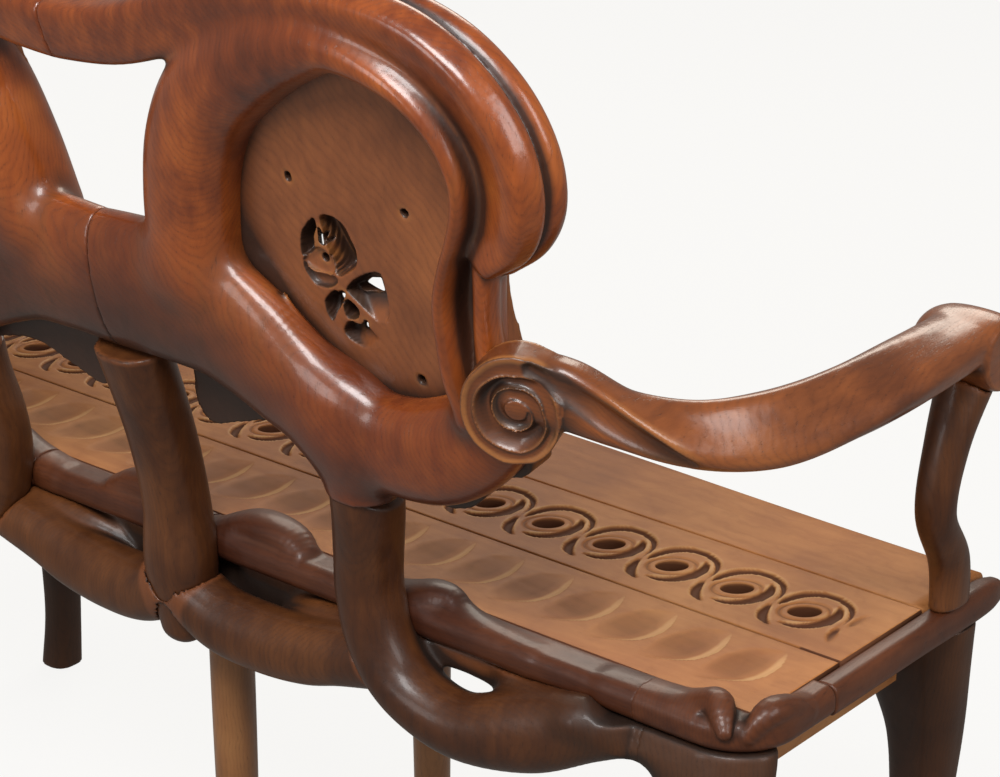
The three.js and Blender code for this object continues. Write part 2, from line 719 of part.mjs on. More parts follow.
// The origin: the middle of the bench's footprint, with the feet on the floor at zero
const footprint = new THREE.Box3().setFromObject(bench);
bench.position.y = -(footprint.min.y + footprint.max.y) / 2;

export default bench;
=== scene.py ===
import bmesh
import bpy
import math
import numpy as np
from mathutils import Matrix, Vector


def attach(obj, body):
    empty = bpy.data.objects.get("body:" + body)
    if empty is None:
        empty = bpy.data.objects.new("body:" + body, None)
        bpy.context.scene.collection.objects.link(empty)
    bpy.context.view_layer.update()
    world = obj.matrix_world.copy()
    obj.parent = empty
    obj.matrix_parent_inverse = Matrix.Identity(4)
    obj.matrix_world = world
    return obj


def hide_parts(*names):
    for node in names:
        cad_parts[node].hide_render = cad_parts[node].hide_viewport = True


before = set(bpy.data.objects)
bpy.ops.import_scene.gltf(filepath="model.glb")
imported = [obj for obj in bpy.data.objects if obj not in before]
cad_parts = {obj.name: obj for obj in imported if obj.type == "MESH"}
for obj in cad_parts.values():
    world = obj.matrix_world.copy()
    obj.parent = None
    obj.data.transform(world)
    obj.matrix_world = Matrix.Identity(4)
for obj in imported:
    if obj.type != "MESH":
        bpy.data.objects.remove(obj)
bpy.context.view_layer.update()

# Camera: the photograph looks from behind the sitter's right side and from above, through a long lens.
# It stands about two metres from the shield on that side, level from left to right.
camera_data = bpy.data.cameras.new("photo_camera")
camera_data.sensor_width = 36
camera_data.lens = 97.2
camera_data.clip_start, camera_data.clip_end = 0.05, 60
camera = bpy.data.objects.new("photo_camera", camera_data)
bpy.context.scene.collection.objects.link(camera)
bpy.context.scene.camera = camera
azimuth, elevation = math.radians(220), math.radians(21.7)
towards = Vector((
    math.sin(azimuth) * math.cos(elevation),
    -math.cos(azimuth) * math.cos(elevation),
    math.sin(elevation),
))
level = (-towards).cross(Vector((0, 0, 1))).normalized()
camera.matrix_world = Matrix((level, level.cross(-towards), towards)).transposed().to_4x4()
camera.location = (-1.5316, 1.5284, 1.379)


# Studio: a plain pale floor, and large soft boxes above and behind the bench that leave long soft streaks
# of light on the varnish. Colours are shown as they are, without a film curve.
def lit_panel(name, place, aim, size, watts, tint=(1, 1, 1)):
    """A soft box that stands at a place and faces a point on the bench"""
    light = bpy.data.lights.new(name, "AREA")
    light.shape = "RECTANGLE"
    light.size, light.size_y = size
    light.energy = watts
    light.color = tint
    panel = bpy.data.objects.new(name, light)
    bpy.context.scene.collection.objects.link(panel)
    panel.location = place
    panel.rotation_euler = (Vector(aim) - Vector(place)).to_track_quat("-Z", "Y").to_euler()


lit_panel("soft_box_high", (-0.9, 1.7, 2.6), (-0.3, 0.1, 0.7), (1.4, 0.9), 85)
lit_panel("soft_box_low", (0.55, 3.1, 1.25), (-0.25, 0.2, 0.7), (0.8, 1.3), 20)
lit_panel("soft_box_side", (-3.0, 0.2, 1.9), (-0.3, 0.1, 0.6), (0.9, 1.8), 35)
lit_panel("soft_box_front", (1.4, -2.4, 2.8), (0, -0.1, 0.5), (2.0, 1.6), 55, (1, 0.92, 0.8))

bpy.context.scene.view_settings.view_transform = "Standard"
world = bpy.data.worlds.new("dim_studio")
bpy.context.scene.world = world
world.use_nodes = True
world.node_tree.nodes["Background"].inputs["Color"].default_value = (1, 0.94, 0.87, 1)
world.node_tree.nodes["Background"].inputs["Strength"].default_value = 0.3


def linear(hex_colour):
    """The colour that a shader takes for an sRGB hex value"""
    parts = [int(hex_colour[k:k + 2], 16) / 255 for k in (1, 3, 5)]
    return tuple(c / 12.92 if c <= 0.04045 else ((c + 0.055) / 1.055) ** 2.4 for c in parts) + (1,)


floor_mesh = bpy.data.meshes.new("studio_floor")
floor_mesh.from_pydata([(-14, -14, 0), (14, -14, 0), (14, 14, 0), (-14, 14, 0)], [], [(0, 1, 2, 3)])
floor = bpy.data.objects.new("studio_floor", floor_mesh)
bpy.context.scene.collection.objects.link(floor)
# The paper is lit from behind as well, so it stays an even near white with hardly a shadow
paper = bpy.data.materials.new("backlit_white_paper")
paper.use_nodes = True
paper_shader = paper.node_tree.nodes["Principled BSDF"]
paper_shader.inputs["Base Color"].default_value = linear("#3f3f3f")
paper_shader.inputs["Roughness"].default_value = 0.9
paper_shader.inputs["Specular IOR Level"].default_value = 0
paper_shader.inputs["Emission Color"].default_value = linear("#fffefc")
paper_shader.inputs["Emission Strength"].default_value = 0.9
floor_mesh.materials.append(paper)
# The floor stays out of the varnish's reflections, as a black cloth beside the camera would keep it
floor.visible_glossy = False
floor.visible_diffuse = False


# Legs: a bowed corner leg under each end of the front and rear edges, widening into the frame at its head,
# and a plain turned leg in the middle of each edge. Carved from solid oak with a spokeshave, stained dark
# at the corners and left lighter in the middle, and varnished.

# Farther than this many millimetres from a limb, its distance isn't worked out
far_off = 60.0


def curve_rows(rows, step):
    """A smooth run of stations through the given ones, about a step apart"""
    rows = np.array(rows, float)
    gaps = np.sqrt(np.linalg.norm(np.diff(rows[:, :3], axis=0), axis=1))
    knots = np.concatenate([[0.0], np.cumsum(gaps)])
    slopes = np.diff(rows, axis=0) / gaps[:, None]
    share = (gaps[:-1] / (gaps[:-1] + gaps[1:]))[:, None]
    tangents = np.vstack([slopes[:1], slopes[:-1] * (1 - share) + slopes[1:] * share, slopes[-1:]])
    length = np.linalg.norm(np.diff(rows[:, :3], axis=0), axis=1).sum()
    at = np.linspace(0, knots[-1], max(3, int(length / step) + 2))
    i = np.clip(np.searchsorted(knots, at, side="right") - 1, 0, len(gaps) - 1)
    g = gaps[i][:, None]
    s = (at - knots[i])[:, None] / g
    return (
        (1 + 2 * s) * (1 - s) ** 2 * rows[i] + s * (1 - s) ** 2 * g * tangents[i]
        + s * s * (3 - 2 * s) * rows[i + 1] - s * s * (1 - s) * g * tangents[i + 1]
    )


def unit(v):
    """Each vector at a length of 1"""
    return v / np.maximum(np.linalg.norm(v, axis=-1, keepdims=True), 1e-9)


def soft_union(a, b, k):
    """Joins two forms with a fillet about k wide. A form is a distance, below zero inside the wood"""
    h = np.maximum(k - np.abs(a - b), 0)
    return np.minimum(a, b) - h * h / (4 * k)


def soft_cut(wood, tool, k):
    """Cuts the tool's form out of the wood, and rounds the edge"""
    return -soft_union(-wood, tool, k)


class Block:
    """A lattice of points that a form is worked out on, with closer lines where it is finely carved"""
    def __init__(self, low, high, cell, fine=None, fine_cell=None):
        self.cell = fine_cell or cell
        self.lines = []
        for k in range(3):
            stops, cells = [low[k], high[k]], [cell]
            if fine:
                stops, cells = [low[k], fine[k][0], fine[k][1], high[k]], [cell, fine_cell, cell]
            runs = [
                np.linspace(a, b, max(1, math.ceil((b - a) / c)), endpoint=False)
                for a, b, c in zip(stops, stops[1:], cells) if b > a
            ]
            self.lines.append(np.append(np.concatenate(runs), high[k]).astype(np.float32))
        self.count = np.array([len(line) for line in self.lines])
        self.x = self.lines[0][:, None, None]
        self.y = self.lines[1][None, :, None]
        self.z = self.lines[2][None, None, :]

    def limb(self, rows, side, exponent, reach=30, step=6):
        """A carved limb through rows of place, half width, half depth and turn"""
        # With an exponent of 2 it is oval in section, and a higher one squares it
        rows = curve_rows(rows, step)
        centre, half = rows[:, :3], np.maximum(rows[:, 3:5], 0.5)
        along = unit(np.gradient(centre, axis=0))
        out = np.array(side, float)[None]
        out = unit(out - (along * out).sum(1, keepdims=True) * along)
        across = np.cross(along, out)
        if rows.shape[1] > 5:
            turn = np.radians(rows[:, 5:6])
            cos, sin = np.cos(turn), np.sin(turn)
            out, across = out * cos + across * sin, across * cos - out * sin
        field = np.full(self.count, far_off, np.float32)
        for i in range(len(rows) - 1):
            room = half[i:i + 2].max() + reach
            near = np.minimum(centre[i], centre[i + 1]) - room
            far = np.maximum(centre[i], centre[i + 1]) + room
            first = np.array([np.searchsorted(self.lines[k], near[k]) for k in range(3)])
            last = np.array([np.searchsorted(self.lines[k], far[k]) for k in range(3)])
            if (first >= last).any():
                continue
            part = tuple(slice(a, b) for a, b in zip(first, last))
            x = self.x[part[0]] - np.float32(centre[i, 0])
            y = self.y[:, part[1]] - np.float32(centre[i, 1])
            z = self.z[:, :, part[2]] - np.float32(centre[i, 2])

            def dot(v):
                return (x * np.float32(v[0]) + y * np.float32(v[1])) + z * np.float32(v[2])

            span = centre[i + 1] - centre[i]
            size = max(np.linalg.norm(span), 1e-6)
            run = dot(span / size)
            t = np.clip(run / np.float32(size), 0, 1)
            beyond = run - t * np.float32(size)
            turn_out, turn_across = out[i + 1] - out[i], across[i + 1] - across[i]
            u = dot(out[i]) + t * (
                dot(turn_out) - np.float32(span @ out[i]) - t * np.float32(span @ turn_out))
            v = dot(across[i]) + t * (
                dot(turn_across) - np.float32(span @ across[i]) - t * np.float32(span @ turn_across))
            wide = np.float32(half[i, 0]) + t * np.float32(half[i + 1, 0] - half[i, 0])
            deep = np.float32(half[i, 1]) + t * np.float32(half[i + 1, 1] - half[i, 1])
            tip = np.minimum(wide, deep)
            if exponent == 2:
                a, b, c = u / wide, v / deep, beyond / tip
                share = np.sqrt(a * a + b * b + c * c)
                growth = np.sqrt((a / wide) ** 2 + (b / deep) ** 2 + (c / tip) ** 2)
                away = (share - 1) * share / np.maximum(growth, 1e-6)
            else:
                a, b, c = np.abs(u / wide), np.abs(v / deep), np.abs(beyond / tip)
                a1, b1, c1 = a ** (exponent - 1), b ** (exponent - 1), c ** (exponent - 1)
                total = a * a1 + b * b1 + c * c1
                share = total ** np.float32(1 / exponent)
                growth = np.sqrt((a1 / wide) ** 2 + (b1 / deep) ** 2 + (c1 / tip) ** 2)
                away = (share - 1) * (total / np.maximum(share, 1e-6)) / np.maximum(growth, 1e-9)
            field[part] = np.minimum(field[part], away)
        return field

    def sample(self, field, points):
        """The form's distance at any points of the block"""
        at = [np.interp(points[:, k], self.lines[k], np.arange(self.count[k])) for k in range(3)]
        at = np.stack(at, axis=1)
        at = np.minimum(at, self.count - 1.001)
        i = at.astype(int)
        f = at - i
        value = 0
        for corner in range(8):
            o = np.array([corner & 1, corner >> 1 & 1, corner >> 2])
            w = np.prod(np.where(o, f, 1 - f), axis=1)
            j = i + o
            value = value + w * field[j[:, 0], j[:, 1], j[:, 2]]
        return value

    def slope(self, field, points):
        """The way in which the distance grows, which is out of the wood"""
        e = self.cell * 0.6
        return np.stack([
            self.sample(field, points + np.eye(3)[k] * e) - self.sample(field, points - np.eye(3)[k] * e)
            for k in range(3)
        ], axis=1) / (2 * e)

    def skin(self, field):
        """A closed mesh of quads over the form, evened out and laid back onto it"""
        inside = field < 0
        count = self.count
        quads, cells, places = [], [], []
        for axis in range(3):
            e = np.eye(3, dtype=int)[axis]
            u, v = np.eye(3, dtype=int)[(axis + 1) % 3], np.eye(3, dtype=int)[(axis + 2) % 3]
            a = inside[tuple(slice(0, count[k] - e[k]) for k in range(3))]
            b = inside[tuple(slice(e[k], count[k]) for k in range(3))]
            cross = np.argwhere(a != b)
            cross = cross[(cross @ u > 0) & (cross @ v > 0)]
            f0 = field[tuple(cross.T)]
            f1 = field[tuple((cross + e).T)]
            spot = cross + (f0 / (f0 - f1))[:, None] * e
            ring = np.stack([cross - u - v, cross - v, cross, cross - u], axis=1)
            ids = (ring[..., 0] * count[1] + ring[..., 1]) * count[2] + ring[..., 2]
            cells.append(ids.ravel())
            places.append(np.repeat(spot, 4, axis=0))
            flip = f0 < 0
            quads.append(np.where(flip[:, None], ids, ids[:, ::-1]))
        cells, places, quads = np.concatenate(cells), np.concatenate(places), np.concatenate(quads)
        names, index = np.unique(cells, return_inverse=True)
        number = np.bincount(index)
        points = np.stack([np.bincount(index, places[:, k]) / number for k in range(3)], axis=1)
        points = [np.interp(points[:, k], np.arange(count[k]), self.lines[k]) for k in range(3)]
        points = np.stack(points, axis=1)
        quads = np.searchsorted(names, quads)
        ends = np.concatenate([quads.ravel(), quads[:, [1, 2, 3, 0]].ravel()])
        others = np.concatenate([quads[:, [1, 2, 3, 0]].ravel(), quads.ravel()])
        valence = np.bincount(ends, minlength=len(points))
        for _ in range(3):
            mean = np.stack([np.bincount(ends, points[others, k], len(points)) for k in range(3)], axis=1)
            points = points * 0.5 + 0.5 * mean / valence[:, None]
            for _ in range(2):
                g = self.slope(field, points)
                steep = np.maximum((g * g).sum(1, keepdims=True), 0.05)
                away = self.sample(field, points)[:, None] * g / steep
                points = points - np.clip(away, -self.cell * 0.8, self.cell * 0.8)
        return points, quads

    def shading(self, field, points):
        """How closed in each point lies, and how sharply the wood stands out there"""
        normal = unit(self.slope(field, points))
        corner = np.array([line[0] for line in self.lines]), np.array([line[-1] for line in self.lines])
        # The closed-in value darkens the wood in its material, as old stain and as painted shade
        hollow = 0
        for reach in (4.0, 10.0, 22.0):
            at = points + normal * reach
            beyond = np.linalg.norm(at - np.clip(at, *corner), axis=1)
            hollow = hollow + np.clip(1 - (self.sample(field, at) + beyond) / reach, 0, 1) / 3
        ridge = np.clip(1 + self.sample(field, points - normal * 6.0) / 6.0, 0, 1)
        return hollow, ridge


# In mm: at the seat's height the plane of the leaning back lies back_foot behind the boards' rear edge, and
# that edge lies rear_edge behind the middle of the overall footprint
lean = math.radians(12)
back_foot = 39.4
seat_top = 430
rear_edge = 74.978


def stood_up(points):
    """Takes points of the reclined back, across, up and out, to their place on the bench"""
    across, up, out = points.T
    return np.stack([
        across,
        back_foot + up * math.sin(lean) + out * math.cos(lean) + rear_edge,
        seat_top + up * math.cos(lean) - out * math.sin(lean),
    ], axis=1)


def bench_place(points):
    """Takes points that count from the boards' rear edge to their place on the bench"""
    return points + np.array([0, rear_edge, 0])


def make_piece(name, points, quads, material, attributes, mirror=False):
    """Makes a mesh from millimetres, mirrored for the sitter's right side, and rides it on the bench"""
    points = points * 0.001
    if mirror:
        points = points * np.array([-1, 1, 1])
        quads = quads[:, ::-1]
    mesh = bpy.data.meshes.new(name)
    mesh.vertices.add(len(points))
    mesh.vertices.foreach_set("co", points.astype(np.float32).ravel())
    mesh.loops.add(quads.size)
    mesh.loops.foreach_set("vertex_index", quads.astype(np.int32).ravel())
    mesh.polygons.add(len(quads))
    mesh.polygons.foreach_set("loop_start", np.arange(0, quads.size, 4, dtype=np.int32))
    mesh.update(calc_edges=True)
    mesh.validate()
    mesh.shade_smooth()
    for key, values in attributes.items():
        layer = mesh.attributes.new(key, "FLOAT", "POINT")
        layer.data.foreach_set("value", values.astype(np.float32))
    mesh.materials.append(material)
    piece = bpy.data.objects.new(name, mesh)
    bpy.context.scene.collection.objects.link(piece)
    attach(piece, "root")
    return piece


def add(tree, kind, feeds=(), stops=(), **settings):
    """Adds one node with its settings and the stops of its ramp, and fills or links its sockets"""
    node = tree.nodes.new(kind)
    for _ in stops[2:]:
        node.color_ramp.elements.new(0.5)
    for element, (place, colour) in zip(node.color_ramp.elements if stops else (), stops):
        element.position, element.color = place, colour
    for key, value in settings.items():
        setattr(node, key, value)
    for key, value in dict(feeds).items():
        if isinstance(value, bpy.types.NodeSocket):
            tree.links.new(value, node.inputs[key])
        else:
            node.inputs[key].default_value = value
    return node


def varnished_oak(
        name, turn, pith, tones, rub_and_highlight, patina_and_shade, gloss=0.3, ring_gap=3.2, pore_dark=0.5, carved=True,
        shine=0.35, gleam=0.45):
    """Oak: open pores in dark growth rings, a wiped stain and painted shade that gather in the hollows, satin
    varnish
    """
    material = bpy.data.materials.new(name)
    material.use_nodes = True
    tree = material.node_tree
    shader = tree.nodes["Principled BSDF"]
    place = add(tree, "ShaderNodeTexCoord").outputs["Object"]
    # The grain runs along the board's own z here, and the rings lie round the pith line
    board = add(tree, "ShaderNodeMapping", {
        "Vector": place, "Rotation": turn, "Location": pith}).outputs["Vector"]
    drawn = add(tree, "ShaderNodeMapping", {"Vector": board, "Scale": (1, 1, 0.1)}).outputs["Vector"]
    # A wave of rings repeats every 0.314 units of scale 1, so this scale gives the ring gap in metres
    rings = add(tree, "ShaderNodeTexWave", {
        "Vector": board, "Scale": 314.2 / ring_gap, "Distortion": 22, "Detail": 4, "Detail Scale": 0.11,
        "Detail Roughness": 0.6,
    }, wave_type="RINGS", rings_direction="Z", wave_profile="SAW").outputs["Fac"]
    cloud = add(tree, "ShaderNodeTexNoise", {
        "Vector": board, "Scale": 6.5, "Detail": 4, "Roughness": 0.55}).outputs["Fac"]
    streak = add(tree, "ShaderNodeTexNoise", {
        "Vector": drawn, "Scale": 85, "Detail": 4, "Roughness": 0.6}).outputs["Fac"]
    # Real pores are 0.3 mm wide: drawn three times as coarse so that they show
    pore = add(tree, "ShaderNodeTexNoise", {
        "Vector": drawn, "Scale": 1300, "Detail": 2, "Roughness": 0.5}).outputs["Fac"]
    early_stops = [(at, (value,) * 3 + (1,)) for at, value in ((0, 0.3), (0.5, 0), (0.85, 1), (1, 0.4))]
    early = add(tree, "ShaderNodeValToRGB", {"Fac": rings}, early_stops).outputs["Color"]
    pores = add(tree, "ShaderNodeMapRange", {
        "Value": pore, "From Min": 0.56, "From Max": 0.72, "To Max": pore_dark}).outputs["Result"]
    pores = add(tree, "ShaderNodeMath", {0: pores, 1: early}, operation="MULTIPLY").outputs["Value"]
    blend = add(tree, "ShaderNodeMath", {
        0: streak, 1: 0.35, 2: cloud}, operation="MULTIPLY_ADD").outputs["Value"]
    tone_stops = [(at, linear(tone)) for at, tone in zip((0.42, 0.60, 0.74, 0.92), tones)]
    toning = add(tree, "ShaderNodeValToRGB", {"Fac": blend}, tone_stops).outputs["Color"]
    band = add(tree, "ShaderNodeMath", {0: early, 1: 0.2}, operation="MULTIPLY").outputs["Value"]
    ringed = add(tree, "ShaderNodeMix", {
        "Factor": band, 6: toning, 7: linear(tones[0])}, data_type="RGBA").outputs[2]
    colour = add(tree, "ShaderNodeMix", {
        "Factor": pores, 6: ringed, 7: linear(patina_and_shade)}, data_type="RGBA").outputs[2]
    rough = add(tree, "ShaderNodeMath", {
        0: cloud, 1: 0.14, 2: gloss - 0.07}, operation="MULTIPLY_ADD").outputs["Value"]
    if carved:
        hollow = add(tree, "ShaderNodeAttribute", attribute_name="hollow").outputs["Fac"]
        ridge = add(tree, "ShaderNodeAttribute", attribute_name="ridge").outputs["Fac"]
        # Closed-in places darken towards the patina colour, which stands for old stain in the hollows and for
        # painted shade in creases and recesses. Edges that stand out turn paler, for wear and, on the seat's
        # carved crests, for a painted highlight
        shade_and_grime_level = add(tree, "ShaderNodeMath", {
            0: streak, 1: 0.3, 2: hollow}, operation="MULTIPLY_ADD").outputs["Value"]
        dark = add(tree, "ShaderNodeMapRange", {
            "Value": shade_and_grime_level, "From Min": 0.26, "From Max": 0.62, "To Max": 0.88}).outputs["Result"]
        bare = add(tree, "ShaderNodeMapRange", {
            "Value": ridge, "From Min": 0.25, "From Max": 0.8, "To Max": 0.5}).outputs["Result"]
        colour = add(tree, "ShaderNodeMix", {
            "Factor": bare, 6: colour, 7: linear(rub_and_highlight)}, data_type="RGBA").outputs[2]
        colour = add(tree, "ShaderNodeMix", {
            "Factor": dark, 6: colour, 7: linear(patina_and_shade)}, data_type="RGBA").outputs[2]
        rough = add(tree, "ShaderNodeMath", {
            0: dark, 1: 0.22, 2: rough}, operation="MULTIPLY_ADD").outputs["Value"]
    # The tool leaves shallow waves about 15 mm long, and the varnish sinks into the pores
    waves = add(tree, "ShaderNodeTexNoise", {
        "Vector": place, "Scale": 55, "Detail": 2, "Roughness": 0.5}).outputs["Fac"]
    tooled = add(tree, "ShaderNodeBump", {
        "Height": waves, "Strength": 1, "Distance": 0.0007}).outputs["Normal"]
    sunk = add(tree, "ShaderNodeBump", {
        "Height": pores, "Normal": tooled, "Strength": 0.6, "Distance": 0.0003,
    }, invert=True).outputs["Normal"]
    tree.links.new(colour, shader.inputs["Base Color"])
    tree.links.new(rough, shader.inputs["Roughness"])
    tree.links.new(sunk, shader.inputs["Normal"])
    shader.inputs["Coat Weight"].default_value = shine
    shader.inputs["Coat Roughness"].default_value = 0.14
    shader.inputs["Specular IOR Level"].default_value = gleam
    shader.inputs["IOR"].default_value = 1.5
    return material


quarter_turn = math.pi / 2
frame_tones = ("#2b150b", "#43230f", "#563015", "#6a3d1c")
upright_oak = varnished_oak(
    "dark_oak_upright", (0, 0, 0), (0.31, -0.42, 0.05), frame_tones, "#7a4526", "#120a06",
    gloss=0.42, shine=0.12, gleam=0.35)
leg_oak = varnished_oak(
    "light_oak_turned", (0, 0, 0), (0.11, 0.07, 0), ("#5a381d", "#734a29", "#845732", "#91643b"), "#b0814c",
    "#2c190d", carved=False)


def carved_piece(name, block, whole, cut, place, material, nodes, toning=None):
    """Skins the wood within its joints once, shades it as the whole form, and sets it on both sides"""
    points, quads = block.skin(np.maximum(whole, cut))
    hollow, ridge = block.shading(whole, points)
    # The toning adds darkness: painted shade at the arch's end and along the shield's rim, and old polish in
    # the knee and the scroll
    if toning:
        hollow = np.clip(hollow + toning(points), 0, 1)
    placed = place(points)
    for side in ("left", "right"):
        shade_and_rub = {"hollow": hollow, "ridge": ridge}
        piece = make_piece(f"{name}_{side}", placed, quads, material, shade_and_rub, side == "right")
        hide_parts(*[f"{node}_{side}" for node in nodes])


def middle_piece(name, points, quads, hollow, ridge, material, slot, node):
    """Sets a piece that has no mirror image on the bench"""
    piece = make_piece(name, bench_place(points), quads, material, {"hollow": hollow, "ridge": ridge})
    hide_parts(node)


leg_top = 403.7


def arch_wood(block):
    """The arch from the knee's stem, behind the rail, to the head of the corner leg"""
    return block.limb([
        (235, 68.4, 560, 30, 28), (231.5, 62, 520, 29, 27.5), (223.5, 54, 480, 28, 26.5),
        (221, 51, 450, 28, 26), (228, 49, 412, 28, 26), (246, 48, 382, 28, 25.5),
        (272, 48, 364.5, 27, 25), (314, 46, 355, 26, 27), (374, 39, 369, 26, 33), (425, 30, 388, 25, 28),
        (470, 22, 399, 23, 20), (500, 14, 404, 22, 14),
    ], (0, 1, 0), 2.15)


def corner_leg(block, standoff, bow):
    """A corner leg at a standoff behind the boards' rear edge, with a shank that bows outwards"""
    rows = [
        (524, standoff, 412, 53, 30), (528, standoff + bow * 0.3, 363, 45, 30),
        (536.4, standoff + bow, 299, 31, 26.5), (538.4, standoff + bow * 0.4, 170, 21, 21),
        (540.3, standoff + bow * 0.4, 61, 18, 18), (544.3, standoff, -8, 20, 20),
    ]
    return block.limb(rows, (1, 0, 0), 2.6)


def rounded(a, b, radius):
    """Joins two faces with a round, from the distances to the two lines where the round starts"""
    outside = np.sqrt(np.maximum(a, 0) ** 2 + np.maximum(b, 0) ** 2)
    return outside + np.minimum(np.maximum(a, b), 0) - radius


def corner_plan(block):
    """How far a point lies outside the rounded corner of the seat, seen from above"""
    return rounded(block.x - 523.3, block.y + 22.7, 54)


def arch_and_leg(block):
    """The arch and the corner leg's head run into each other, and end flush under the corner of the seat"""
    wood = soft_union(arch_wood(block), corner_leg(block, 8, 8), 30)
    beyond = corner_plan(block) + 0.5 - 0.3 * (404 - block.z) - 1.2 * np.maximum(468 - block.x, 0)
    wood = soft_cut(wood, -beyond, 8)
    above = 0.8 * (block.z - 403.5 - 0.7 * np.maximum(446 - block.x, 0))
    return soft_cut(wood, -above, 3)


def corner_shade_and_tone(points):
    """Darkens the wood towards the corner of the seat: painted shade under the rail at the arch's end, and a
    darker tone on the corner leg
    """
    return 0.3 * np.clip((points[:, 0] - 360) / 80, 0, 1)


for name, standoff, bow in (("leg_rear", 8, 8), ("leg_front", -269.2, -8)):
    block = Block((460, standoff - 48, -6), (590, standoff + 58, 412), 2.4)
    ends = np.maximum(np.maximum(block.z - leg_top, 0.02 - block.z), 474.0 - block.x)
    leg = arch_and_leg(block) if name == "leg_rear" else corner_leg(block, standoff, bow)
    carved_piece(f"{name}_bowed", block, leg, ends, bench_place, upright_oak, [name], corner_shade_and_tone)
for name, standoff in (("leg_rear_centre", -8), ("leg_front_centre", -269.2)):
    block = Block((-28, standoff - 28, -6), (28, standoff + 28, 412), 2.4)
    leg = block.limb([
        (0, standoff, 415, 19.5, 19.5), (0, standoff, 240, 19.5, 19.5), (0, standoff, -10, 17, 17),
    ], (1, 0, 0), 2)
    leg = np.maximum(np.maximum(leg, block.z - leg_top), 0.02 - block.z)
    points, quads = block.skin(leg)
    middle_piece(f"{name}_turned", points, quads, *block.shading(leg, points), leg_oak, "oak_leg", name)


# Rear rail, corner blocks and end rails: round-backed oak rails that carry the boards, swelling into
# carved lumps that lap over the rear board's edge. Jointed end to end with dowels and glued to the arches.
rail_tones = ("#28110a", "#3e1d0e", "#4f2813", "#60331a")
rail_oak = varnished_oak(
    "dark_oak_rail", (0, quarter_turn, 0), (0.36, 0.12, 0.1), rail_tones, "#6c3f25", "#120a06",
    gloss=0.44, shine=0.14, gleam=0.32)
# The height of the rail's middle, half the flat of its rear face, and the round above and below the flat
rail_level = 417
rail_flat = 3
rail_round = 10


def rail_wood(block):
    """The round-backed rail with its carved lumps, as one length from the middle to the corner"""
    body = rounded(np.abs(block.y - 12.5) - 8.8, np.abs(block.z - rail_level) - rail_flat, rail_round)
    body = np.maximum(body, np.abs(block.x) - 520)
    outer_lump = block.limb([
        (184, 14, 419, 9, 12), (208, 13, 424, 10, 15), (232, 11, 429, 12, 16), (252, 7, 433.5, 12.5, 15),
        (268, 7, 433.5, 12, 12), (281, 10, 429, 10, 10), (298, 14, 425, 9, 9), (326, 17, 422, 8, 8),
        (360, 19, 418, 8, 8),
    ], (0, 0, 1), 2.4, 24)
    inner_lump = block.limb([
        (10, 16, 422, 9, 13), (32, 10, 430, 12, 16), (52, 6, 436, 13, 18), (76, 6, 437, 13, 18),
        (98, 8, 434, 12, 16), (112, 12, 430, 9, 12),
    ], (0, 0, 1), 2.4, 24)
    corner_lump = block.limb([
        (436, 14, 420, 9, 13), (464, 12, 421, 9, 13), (488, 11, 423, 9.5, 12), (502, 10, 425, 10, 12),
        (514, 8, 429, 11, 12), (528, 10, 433, 12.5, 12.5), (539, 19, 430, 10.5, 10),
        (547, 27, 424, 6, 6),
    ], (0, 0, 1), 2.2, 24)
    return soft_union(soft_union(soft_union(body, outer_lump, 12), inner_lump, 8), corner_lump, 10)


def boards_room(block):
    """The space of the three seat boards, 0.3 mm bigger all round for the glue line"""
    return np.maximum(np.maximum(np.abs(block.x) - 556.3, np.abs(block.z - 300) - 130.3), block.y - 0.3)


block = Block((-8, -20, 398), (212, 38, 456), 1.6)
rail = np.maximum(rail_wood(block), -boards_room(block))
points, quads = block.skin(np.maximum(np.maximum(rail, block.x - 205.0), -block.x))
hollow, ridge = block.shading(rail, points)
middle_piece(
    "rail_rear_centre_carved", np.vstack([points, points * np.array([-1, 1, 1])]),
    np.vstack([quads, quads[:, ::-1] + len(points)]), np.r_[hollow, hollow], np.r_[ridge, ridge],
    rail_oak, "oak_dark", "rail_rear_centre")

block = Block((200, -20, 398), (470, 38, 456), 1.6)
rail = np.maximum(rail_wood(block), -boards_room(block))
ends = np.maximum(205.4 - block.x, block.x - 467.5) + 0 * block.z
carved_piece(
    "rail_rear_side_carved", block, rail, ends, bench_place, rail_oak, ["rail_rear_side"])

end_rail_oak = varnished_oak(
    "dark_oak_end_rail", (quarter_turn, 0, 0), (0.2, 0.36, 0.1), rail_tones, "#6c3f25", "#120a06",
    gloss=0.44, shine=0.14, gleam=0.32)
block = Block((458, -82, 398), (584, 38, 458), 1.6)
corner = rounded(corner_plan(block) + rail_round, np.abs(block.z - rail_level) - rail_flat, rail_round)
corner = soft_union(corner, rail_wood(block), 1)
end_lump = block.limb([
    (567, -42, 423, 9, 10), (567, -22, 431, 10, 11), (565, -4, 434, 10, 11), (562, 9, 428, 8, 8),
    (560, 15, 420, 5, 5),
], (0, 0, 1), 2.2)
corner = soft_union(corner, end_lump, 5)
corner = np.maximum(corner, -boards_room(block))
ends = np.maximum(465.0 - block.x, -74.0 - block.y)
carved_piece(
    "corner_block_carved", block, corner, ends, bench_place, end_rail_oak, ["corner_block"])

block = Block((548, -326, 398), (586, -68, 436), 1.8)
end_rail = block.limb([
    (566.8, -74, 416.6, 10.5, 13.4), (566.8, -200, 416.6, 10.5, 13.4), (566.8, -300, 416.6, 10.5, 13.4),
    (566.8, -316, 416, 8, 11),
], (1, 0, 0), 3.4)
carved_piece(
    "rail_end_rounded", block, end_rail, block.y + 74.4, bench_place, end_rail_oak, ["rail_end"])


# Arches and middle post: each side of the back comes down on a heavy carved arch, jointed to the knee above
# with a dowel, and swings out under the rail to the corner leg. A smaller arch ties it to the middle post.
def up_the_back(block):
    """How far a point lies up the reclined back"""
    return (block.y - back_foot) * math.sin(lean) + (block.z - seat_top) * math.cos(lean)


